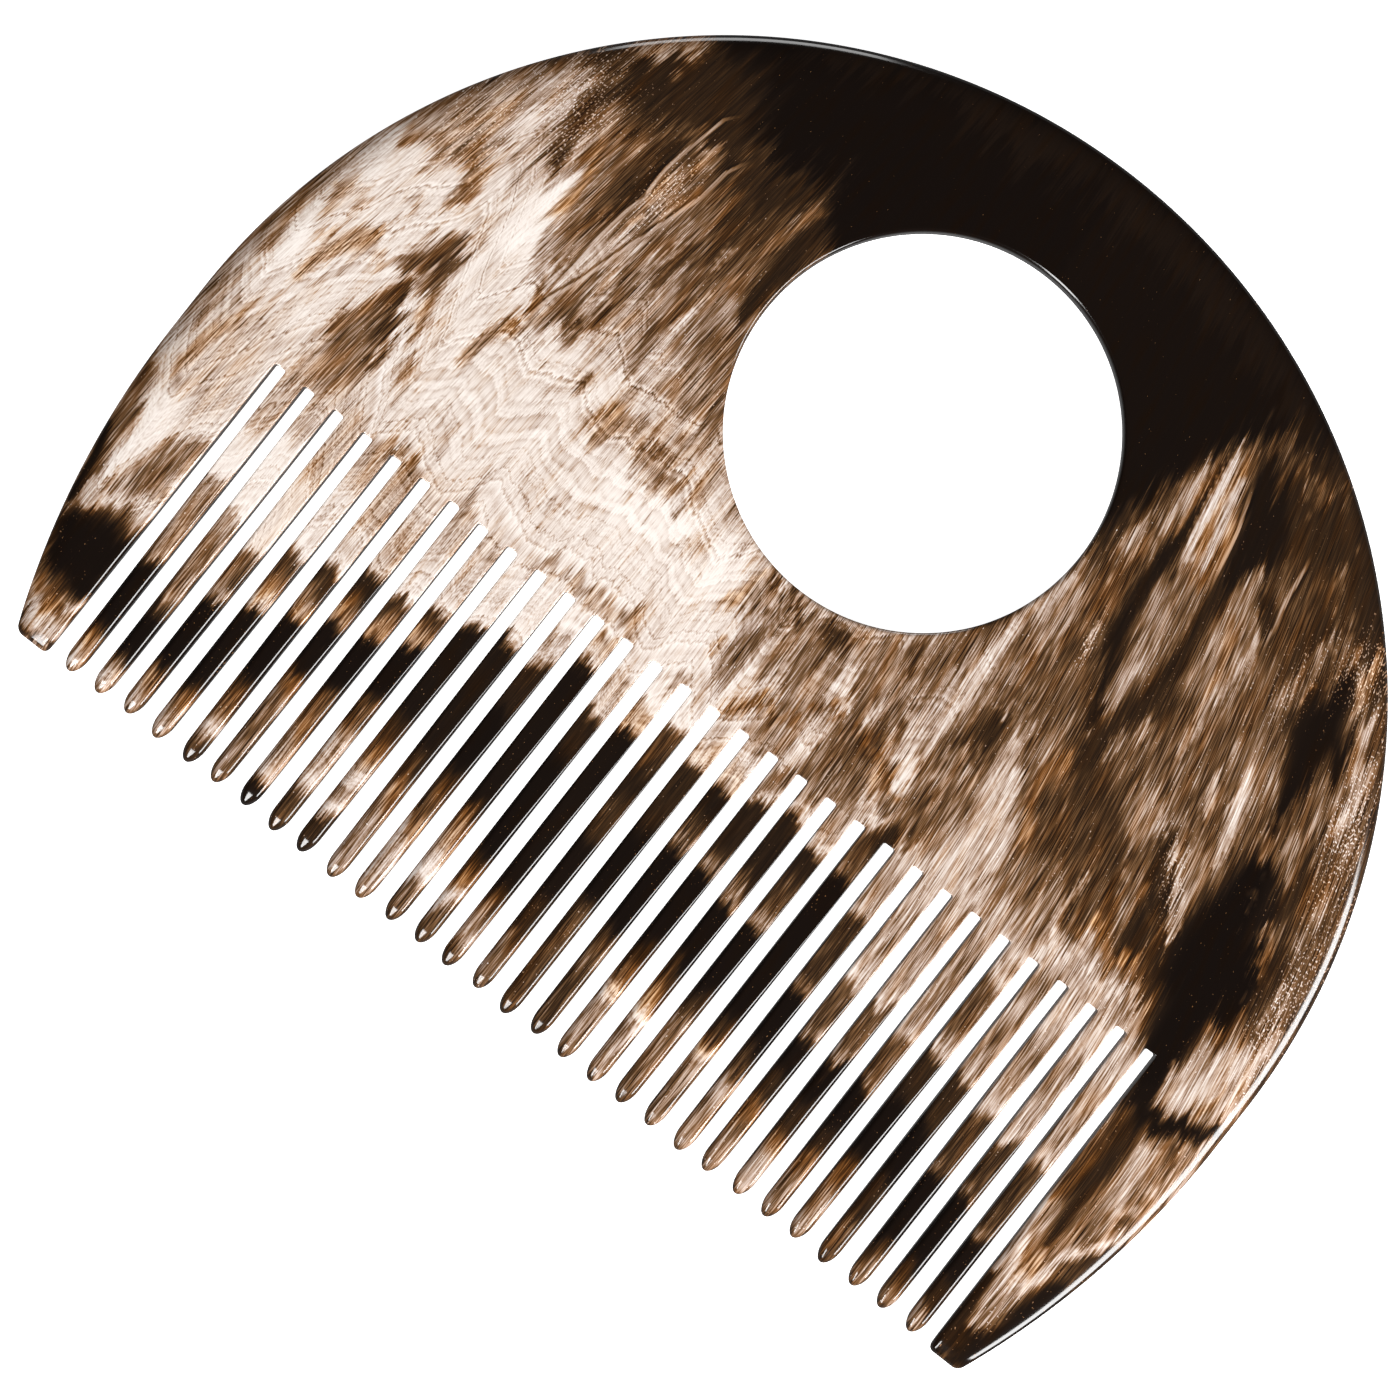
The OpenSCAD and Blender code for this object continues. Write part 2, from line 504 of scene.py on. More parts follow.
def add(tree, kind, inputs=None, **settings):
    """A node with its settings, each input set to a value or linked to an output or to a node's first one."""
    made = tree.nodes.new(kind)
    for name, value in settings.items():
        setattr(made, name, value)
    for key, value in (inputs or {}).items():
        if isinstance(value, bpy.types.Node):
            value = value.outputs[0]
        if isinstance(value, bpy.types.NodeSocket):
            tree.links.new(value, made.inputs[key])
        else:
            made.inputs[key].default_value = value
    return made


def calc(tree, operation, a, b=0.0, c=0.0, clamp=False):
    """The output of one Math node."""
    return add(tree, "ShaderNodeMath", {0: a, 1: b, 2: c}, operation=operation, use_clamp=clamp).outputs[0]


# The figure of the horn, read from the photo. Millimetres; tone 0 is near black and 1 is cream.

# Colours of the horn, as display red, green and blue from 0 to 1
CROWN_BLACK = (0.03, 0.02, 0.02)
SOOT = (0.11, 0.075, 0.052)
DARK_BROWN = (0.23, 0.155, 0.09)
HORN_BROWN = (0.46, 0.33, 0.215)
TAN = (0.72, 0.62, 0.55)
CREAM = (0.98, 0.95, 0.925)
# Each with the tone at which it stands
HORN_COLOURS = (
    (0.0, CROWN_BLACK),
    (0.1, SOOT),
    (0.24, DARK_BROWN),
    (0.46, HORN_BROWN),
    (0.68, TAN),
    (1.0, CREAM),
)
AMBER_TINT = (1.18, 0.89, 0.52)
GREY_TINT = (0.94, 0.98, 1.06)

# Tones of the bare plate on the left, on the right and on the right teeth, and from where to where each turns
LEFT_TONE = 0.86
RIGHT_TONE = 0.32
RIGHT_FROM = (-2, 12)
RIGHT_TEETH_TONE = 0.6
RIGHT_TEETH_FROM = (8, 16)
RIGHT_TEETH_BELOW = (-10, -14)
# Growth fronts left of FRONT_END, as (tone above the line, softness, then x and y by turns along the line)
FRONT_END = 12
FRONTS = (
    (0.68, 5, -58, 10, -52, 11, -47, 13, -41, 12, -38, 11, -35, 7, -31, 6, -27, 3.5, -22, 4, -18, 3, -12, 2,
     -4, -2),
    (0.40, 5, -58, 36, -50, 31, -45, 28, -42, 22, -39, 20, -37, 14, -33, 14, -29, 12, -21, 10, -16, 7, -8, 3),
    (0.27, 5, -58, 40, -46, 30, -42, 25, -39, 23, -36, 22, -33, 24, -29, 23, -25, 20, -21, 18, -17, 15,
     0, 16),
    (0.04, 3, -58, 50, -41, 37, -37, 33, -33, 30, -30, 29, -25, 26.5, -21.5, 27.8, -19.5, 29, -18.2, 25,
     -16, 22, 0, 22),
)
# Right border of the black crown, as x and y by turns from the thumb hole up to the rim
CROWN_BORDER = (
    16, 16, 16.8, 20, 17.6, 22.5, 19.2, 25, 19.8, 28, 20.4, 31, 22, 33, 24.5, 35.5, 28, 38, 30, 46,
)
CROWN_TONE = 0.05
CROWN_SOFT = 2.2

# Strokes as tone and hue, then x, y and half width by turns. Hue 1 is amber and -1 is grey.
UPPER_LEFT = (
    (0.66, 0.1, -57.2, -14, 1.4, -57.6, 0, 1.4, -56.8, 10, 1.5, -54.5, 18, 1.6, -51, 24, 1.4),
    (0.15, 0, -42.5, 25.5, 1.4, -39.5, 26, 3, -36, 27, 4, -33, 28.5, 4),
    (0.72, 0.2, -46, 23.5, 0.7, -41.5, 27.8, 0.7, -37, 31, 0.8),
    (0.30, 0.1, -37, 22.4, 1.6, -34.5, 22.6, 1.6),
    (0.42, 0.2, -38.6, 20.5, 1.4, -35.5, 20.3, 1.4),
    (0.25, 0.1, -43.6, 24.6, 1, -42, 26.2, 1.2),
    (0.52, 0.2, -45, 22.2, 0.7, -43, 24, 0.7),
    (0.40, 0.3, -45.9, 22, 0.5, -45.8, 21, 0.5),
    (0.66, 0, -44, 22, 0.9),
    (0.78, 0, -43.5, 19, 1),
    (0.85, -0.4, -42.3, 23.2, 0.6, -42.1, 21, 0.45, -42.2, 18.6, 0.35),
    (0.22, 0.1, -41.2, 22.6, 0.9, -41.2, 18, 1, -40.8, 15.6, 1.2, -40.3, 14, 0.6),
    (0.30, 0.2, -41, 24.2, 0.8),
    (0.60, -0.5, -39, 18.4, 0.35),
    (0.42, 0.9, -38.3, 18.8, 0.7, -37.6, 17, 0.55, -37.3, 15, 0.5, -37.8, 12.5, 0.6, -38.3, 11, 0.35),
    (0.93, 0, -38.8, 16.4, 0.25, -39.1, 14, 0.8, -39, 12, 1.2, -38.6, 8, 1.5),
    (0.40, 0.3, -35, 20.5, 1.4, -35.2, 13, 1.3),
    (0.25, 0, -34.6, 21.5, 0.6, -35, 18, 0.8, -35.3, 15, 0.7, -34.8, 12.5, 0.5),
    (0.58, -0.2, -36.8, 19.5, 0.3, -36.9, 16, 0.3, -36.4, 13, 0.25),
    (0.15, 0, -33.2, 23, 0.6, -33.4, 19, 0.6, -33.9, 15.5, 0.4),
    (0.40, 0.2, -35.4, 12.5, 0.9, -35.2, 8.6, 0.7),
    (0.60, -0.4, -36.5, 10.5, 0.6, -35.9, 8.4, 0.7),
    (0.50, 0.2, -46.5, 18.4, 0.8),
    (0.64, 0.1, -46.8, 17, 0.9, -46.8, 14.4, 0.9),
    (0.64, 0.2, -53, 13, 1.8, -51, 17, 2, -48, 16, 2, -50, 11, 2),
    (0.80, 0, -44.5, 17, 1, -44, 13, 1.3),
    (0.86, 0, -50, 7, 2.2, -47, 7, 2),
    (0.50, 0.3, -49, 14, 1, -47, 12.8, 1.3),
    (0.38, 0.6, -47.2, 11.6, 0.9, -45.6, 11, 1, -44.8, 9.4, 0.8, -44.8, 7.4, 0.5),
    (0.48, 0.5, -52.4, 9.2, 0.4, -51, 10.6, 0.6, -49.4, 10.4, 0.5, -48, 10.2, 0.6, -47, 11, 0.6),
    (0.60, 0.1, -48.3, 8.4, 0.4),
    (0.62, 0.1, -43.4, 14.3, 0.5),
    (0.60, 0.1, -41.9, 12.4, 0.45),
    (0.72, 0.1, -42.5, 7, 0.7, -41.4, 7.8, 0.5),
    (0.16, 0, -34, 27, 1.4, -31, 27, 1.4, -28, 25, 1.2, -24, 24.5, 1.4, -21.5, 26, 1),
    (0.35, 0.3, -32, 25, 0.9, -29.8, 25.2, 0.8),
    (0.50, 0.3, -30.6, 25, 0.8, -30, 23.5, 0.7),
    (0.38, 0.6, -30.5, 22.5, 0.8),
    (0.58, 0.2, -31, 20.5, 1, -31, 18, 1.2),
    (0.60, 0.5, -32, 15, 0.7),
    (0.70, 0.1, -32.4, 12, 0.9, -33, 10, 0.7),
    (0.45, 0.8, -32.4, 20, 0.3, -32.3, 18, 0.3),
    (0.50, 0.7, -29.3, 21, 0.35, -29.8, 18.6, 0.35),
    (0.42, 0.1, -29.6, 14, 0.7, -29.4, 9.5, 0.6),
    (0.45, 0.1, -27.2, 11, 0.5),
    (0.65, -0.2, -28.2, 18, 0.3, -27.6, 16.6, 0.3, -27.4, 15, 0.3, -28.6, 14.2, 0.3, -29, 13, 0.3),
    (0.60, -0.2, -27.5, 12.3, 0.3, -26.4, 11.4, 0.3, -26.3, 9.6, 0.3),
    (0.35, 0.4, -27, 22.5, 0.8, -26.8, 19.5, 0.8),
    (0.22, 0, -25, 22, 1.1, -24, 17, 1.1),
    (0.25, 0, -26.5, 17.2, 0.6, -26.2, 15, 0.6, -26.6, 13, 0.5),
    (0.55, -0.4, -25.5, 15.6, 0.5, -25.6, 13.3, 0.5),
    (0.58, -0.1, -23.7, 19.5, 0.25, -23.9, 16.5, 0.25),
    (0.14, 0, -19, 24.5, 1.3, -19.5, 20, 1, -19.6, 17.5, 0.9, -19.5, 15.4, 0.6),
    (0.40, 0.4, -19.4, 27, 0.3, -20, 25.4, 0.55, -20.6, 24, 0.65, -21.2, 22, 0.65, -21.6, 20, 0.6),
    (0.40, 0.4, -21.6, 20, 0.6, -21.7, 17.5, 0.55, -22.5, 15, 0.45, -23.6, 12.8, 0.35),
    (0.50, -0.4, -22, 16, 0.5, -20.8, 15, 0.8, -21, 12.6, 0.8),
    (0.42, 0.1, -19.5, 13, 0.8),
    (0.40, 0.1, -24.2, 14, 0.5, -25, 11, 0.6, -25.2, 9, 0.5),
    (0.80, -0.1, -23, 12, 0.4, -23.3, 9, 0.45, -23.3, 6, 0.5),
    (0.62, 0.1, -22, 10.5, 0.5),
)
LOWER_LEFT = (
    (0.95, 0, -54, -2.8, 0.7, -54.4, -5, 0.6),
    (0.95, 0, -50, -9.5, 0.8),
    (0.55, 0.2, -54.6, 5, 0.35, -55.6, 1.5, 0.4, -55.9, -1.5, 0.5, -56, -5, 0.5, -55.9, -6.8, 0.35),
    (0.66, 0.3, -53.4, 1.8, 0.9),
    (0.62, 0.5, -54.5, 1.6, 0.45, -53.6, 0.6, 0.45, -53.4, -0.9, 0.4),
    (0.72, 0.2, -52.4, 3.3, 0.3, -51.4, 1.6, 0.3, -51.8, 0, 0.3),
    (0.66, 0.3, -52.6, -2.2, 0.4, -52.2, -3, 0.4),
    (0.68, 0.3, -49.2, 0.6, 0.5, -47.6, -0.1, 0.5, -46, -0.1, 0.5),
    (0.55, 0.6, -49.2, 0.6, 0.6, -50, -1.2, 0.9, -51, -3.2, 0.9, -51.8, -5, 0.5, -52.2, -6.9, 0.3),
    (0.30, 0.1, -42.3, 5.3, 0.35, -42.7, 3.2, 1.2, -43.2, 1.6, 1.7, -45, 0.2, 0.9, -46, -0.6, 0.4),
    (0.30, 0.1, -41.9, 3, 0.6, -41.8, 0.5, 0.6, -41.6, -1.2, 0.4),
    (0.45, 0.4, -43.2, 0.4, 0.8, -42.6, -0.4, 0.6),
    (0.45, 0.4, -41.4, -1.4, 0.5, -41.2, -3.4, 0.7, -40.9, -4.5, 0.3),
    (0.70, 0.1, -44.5, -10, 3, -44.3, -13.6, 3.6),
    (0.46, 0.3, -44.4, -3, 1, -45, -7, 2.1, -44.6, -11, 2),
    (0.27, 0.1, -44.1, -1.3, 0.3, -44.3, -2.8, 0.8, -44.6, -4.4, 1.2, -43.8, -5.6, 0.9, -42.7, -6.6, 0.9),
    (0.30, 0.1, -42.7, -6.6, 0.9, -42.2, -8, 0.6),
    (0.42, 0.5, -45.6, -4.8, 0.7, -46.4, -6.6, 0.8, -46.9, -8.5, 0.4),
    (0.42, 0.2, -43.2, -8.2, 0.9, -43.2, -10, 0.9, -43.6, -11.7, 0.5),
    (0.95, -0.3, -43.2, -3.2, 0.35, -42.6, -4.8, 0.5, -41.4, -6.1, 0.35),
    (0.93, -0.2, -41.2, -8, 0.4, -40.3, -9.5, 0.35),
    (0.38, 0.7, -53.6, -12.2, 0.55),
    (0.60, 0.3, -54.6, -10.6, 0.35, -54.9, -11.9, 0.35),
    (0.72, 0.1, -49.2, 3.8, 0.35, -48.4, 5.5, 0.35),
    (0.60, 0.2, -48, 5.6, 0.3, -47.8, 4.9, 0.3),
    (0.72, 0.1, -50.6, -7, 0.4, -51, -9, 0.4),
    (0.66, 0.1, -41.2, 6.5, 0.4, -41, 5.1, 0.4),
    (0.45, 0.9, -45.1, 7.6, 0.5, -45.6, 6.4, 0.35),
    (0.58, 0.1, -39.6, -6, 0.6, -39.4, -8, 0.6),
    (0.76, 0.1, -40, -2, 0.5, -39, -3, 0.5),
    (0.70, 0.1, -40.6, -0.6, 0.4, -40.3, 0.6, 0.4),
    (0.32, 0, -31.5, 9.6, 0.5, -31.8, 8, 1, -32, 6, 1.3, -31.5, 4.8, 1.6, -30.6, 3.8, 1.1, -30.5, 2.7, 0.6),
    (0.22, 0, -30.3, 3.9, 0.55),
    (0.40, 0.7, -34.4, 6.4, 0.6, -34.3, 5.2, 0.5),
    (0.50, 0.5, -33.2, 5, 0.4, -33.7, 3.4, 0.35, -34.4, 2, 0.35, -35, 0.6, 0.4, -35.8, -1, 0.5),
    (0.50, 0.5, -35.8, -1, 0.5, -36.1, -2.6, 0.5, -36.2, -3.8, 0.25),
    (0.42, -0.3, -36, 9, 0.45, -35.7, 6, 0.5),
    (0.36, 0.1, -28.6, 10, 0.5, -28.9, 7.4, 0.6, -29.2, 5.6, 0.4),
    (0.48, 0.4, -27, 8.4, 0.4, -27.2, 6.5, 0.35),
    (0.38, 0.1, -24.6, 10, 0.5, -24.6, 7, 0.5, -24.4, 5, 0.4, -24.6, 4, 0.3),
    (0.55, 0.5, -26.4, 2.4, 0.45, -26.6, 1.1, 0.4),
    (0.68, 0.1, -32.2, 1.4, 0.4),
    (0.72, 0.1, -28.5, 0, 0.45),
    (0.62, 0.2, -23, 2.8, 0.6),
    (0.64, 0.2, -24, -0.4, 1, -21.8, 0.5, 1.1, -19.2, 0.3, 1.2, -17, 0.1, 1.2, -15.4, -1, 1),
    (0.42, 0.2, -24, 0.2, 0.5, -22.4, 0.3, 0.5, -21, 2.1, 0.5, -19.2, 1, 0.5, -17, 0.9, 0.5,
     -15.6, -0.4, 0.4),
    (0.54, 0.5, -23.4, 0.4, 0.8, -22.4, -0.6, 0.8, -23, -2, 0.6),
    (0.57, 0.5, -20, 7, 0.5, -19.2, 5.6, 0.6),
    (0.60, 0.1, -39.4, -5.6, 0.4, -39, -7, 0.5, -38.6, -8.7, 0.3),
    (0.74, 0, -38, -10.8, 0.5, -36.6, -10, 0.35, -35.6, -8.6, 0.35, -34.6, -7.6, 0.35, -33.4, -8.4, 0.35),
    (0.72, 0, -33.4, -8.4, 0.4, -32.5, -11.2, 0.5),
    (0.78, 0, -25.4, -3.4, 0.3, -24.8, -4.6, 0.35, -23, -4.6, 0.3),
    (0.70, 0, -26.2, -7, 0.3, -25, -7.4, 0.3, -24, -8.3, 0.3, -22, -8.2, 0.3, -20, -7.6, 0.3, -18.6, -7, 0.3),
    (0.38, 0.6, -36.4, -13, 0.4, -35.6, -12.5, 0.4, -34.4, -12.7, 0.4, -33.7, -13.6, 0.4),
    (0.52, 0.2, -28, -12.7, 0.6, -27.3, -13.5, 0.6),
    (0.55, 0.2, -20, -12.9, 0.5, -18.8, -12.7, 0.5, -18.2, -13.5, 0.5),
    (0.60, 0.2, -40, -13.2, 0.6, -38.8, -13.2, 0.5),
)
MIDDLE = (
    (0.48, 0.2, -19.5, 7, 1.6, -16.5, 6.5, 1.4),
    (0.35, 0.2, -16.5, 8, 0.5, -16.3, 6.6, 0.4),
    (0.72, 0.1, -18.6, 3.6, 1.4, -16.6, 3.2, 1.3),
    (0.52, 0.3, -17, 3, 0.4, -16.4, 2, 0.35),
    (0.50, 0.4, -14.6, 1, 0.5, -15, -0.4, 0.5, -15.3, -1.7, 0.4),
    (0.50, 0.5, -12.8, 3, 0.5, -13, 1.6, 0.4, -13.2, 0.3, 0.4),
    (0.60, 0.2, -12.5, 2, 0.5, -12.3, -0.5, 0.5),
    (0.93, 0, -18, -3.8, 2, -8, -3.8, 2),
    (0.76, 0.1, -11.6, -5, 0.45, -10.6, -4, 0.45, -10, -2.2, 0.45, -9.4, -3.5, 0.45, -8.4, -5, 0.4),
    (0.55, 0, -3, -3.4, 1.6, 0, -3.4, 1.6),
    (0.72, -0.4, -3.4, -5.6, 0.7, 0.6, -5.4, 0.7),
    (0.75, 0, 0.6, -3, 0.4),
    (0.62, 0.6, -4.4, -1.6, 0.35, -4.6, -3.2, 0.35, -5, -4.6, 0.35, -5.8, -6, 0.3),
    (0.44, -0.4, -1.4, -6.5, 1.1, -1.6, -9, 1.2, -1.6, -10.8, 0.9),
    (0.50, 0.7, -3.4, -8.6, 0.45),
    (0.75, 0, -2.5, -12.6, 1),
    (0.20, 0, -3.6, -1.5, 0.35, -2, -1.5, 0.4, 0, -1.6, 0.4, 1.4, -2.4, 0.4, 1.2, -3.4, 0.3),
    (0.50, 0.1, 1.2, -5, 0.7, 1.3, -8, 0.8),
    (0.40, 0, 2.6, -4, 0.8, 3.4, -7, 0.8),
    (0.36, 0.8, 0.2, -13.2, 0.4, 1.6, -12.2, 0.5, 3, -11.2, 0.6, 3.6, -10.4, 0.5),
    (0.62, 0.2, -20, -13.4, 0.6, -16, -12.9, 0.7, -12.6, -12.5, 0.8, -11, -12.2, 0.9, -9.4, -13.4, 0.6),
    (0.50, 0.2, -11, -12.1, 0.8, -10.4, -11.3, 0.3),
    (0.60, 0.1, -4, -13.2, 0.7),
    (0.30, 0.1, 2.6, -2, 1, 5.6, -2, 1),
    (0.17, 0, 4.6, -1.6, 0.6, 4.2, -3.4, 0.6),
    (0.40, 0, 3.5, -3.6, 0.9, 3.5, -6, 0.9),
    (0.33, 0, 4, -5.6, 0.5),
    (0.45, 0.4, 6.6, -1, 0.6),
    (0.65, 0.1, 7, -0.5, 0.35),
    (0.50, 0.1, 9, -1.6, 1.6, 14, -1, 1.8),
    (0.45, 0.2, 9, 0, 0.9),
    (0.38, 0.1, 12.8, 3, 0.9),
    (0.22, 0.4, 10.8, 1.9, 0.6, 11, 0.4, 0.8),
    (0.32, -0.3, 14.4, 5, 0.7),
    (0.62, -0.4, 14.2, 3, 0.5, 14.8, 1, 0.6, 15, -1.6, 0.5),
    (0.75, -0.2, 16.3, 6, 0.5, 16.4, 4.6, 0.5),
    (0.74, -0.1, 16, 8, 0.8, 16.2, 3.5, 1, 16.5, 1, 1.2, 16.6, -0.6, 1.2, 16.4, -2.5, 0.8),
    (0.55, -0.3, 18.5, 5.2, 0.7),
    (0.35, 0, 17.4, 3.2, 0.5, 19, 3.6, 0.8, 20.6, 3.6, 0.4),
    (0.33, 0, 18, -1, 0.7),
    (0.60, 0, 18.4, -3.8, 0.5),
    (0.42, 0.1, 18.3, -4.7, 0.8),
    (0.17, 0, 19.9, 1, 0.7, 19.8, -0.8, 1, 20, -2.6, 1, 20.6, -3.7, 0.6),
    (0.55, -0.3, 17.6, 2, 0.3, 19, 2.4, 0.3, 20.6, 1.9, 0.3),
    (0.68, 0, 13.5, -3, 1.2, 16, -4, 1.4),
    (0.85, 0, 15.6, -6, 0.9, 16.6, -7.4, 1.1, 16.6, -8.7, 0.5),
    (0.62, 0, 19, -6, 0.9),
    (0.82, 0, 7.4, -4.6, 0.7, 8, -6, 0.9, 9, -7, 0.4),
    (0.75, 0, 10.6, -4.6, 0.6, 10.8, -6, 0.6),
    (0.40, -0.3, 12.4, -5, 0.7),
    (0.24, 0.5, 10.6, -7.4, 0.35, 12.2, -7.4, 0.9, 13.8, -7.6, 0.6, 15, -8, 0.4),
    (0.20, 0, 12.6, -6.4, 0.6),
    (0.70, 0, 13.6, -6, 0.4, 14.4, -6.6, 0.35),
    (0.42, -0.3, 4.6, -8.6, 0.8),
    (0.42, 0.4, 5, -10.6, 0.5, 3.4, -10.8, 0.5),
    (0.80, 0, 8, -9.2, 0.9, 8, -12.2, 1.1),
    (0.55, 0.5, 10, -8.6, 0.45),
    (0.50, -0.3, 12, -12, 1.3),
    (0.58, 0.5, 14.6, -9.4, 0.9),
    (0.68, 0, 15.5, -11.2, 0.9),
    (0.38, 0.8, 2.2, -11, 0.35, 3, -10.3, 0.35, 5.4, -9.6, 0.35, 6.2, -8.4, 0.35, 7.6, -7.2, 0.35,
     9.2, -8, 0.35),
    (0.38, 0.8, 9.2, -8, 0.35, 11, -7.3, 0.35, 13.4, -7.2, 0.35, 15.6, -8.6, 0.35, 16.6, -9.2, 0.35,
     18.4, -8.6, 0.35),
    (0.42, 0.2, 16.8, -9.6, 0.6),
    (0.28, 0.1, 18.8, -8.6, 0.8),
    (0.38, 0.1, 18.4, -10, 0.8),
    (0.14, 0, 18.8, -12, 0.8, 18.6, -13.6, 1.1),
    (0.28, 0.5, 20.7, -9.6, 0.4, 20.8, -11, 0.5, 20.6, -12, 0.35),
    (0.42, 0.1, 21.4, -11, 0.4),
    (0.42, 0.1, 20, -8, 0.6),
    (0.45, 0.4, 21, -5, 0.6, 21.6, -7, 0.6),
    (0.50, -0.3, 20.4, -4.7, 0.4),
)
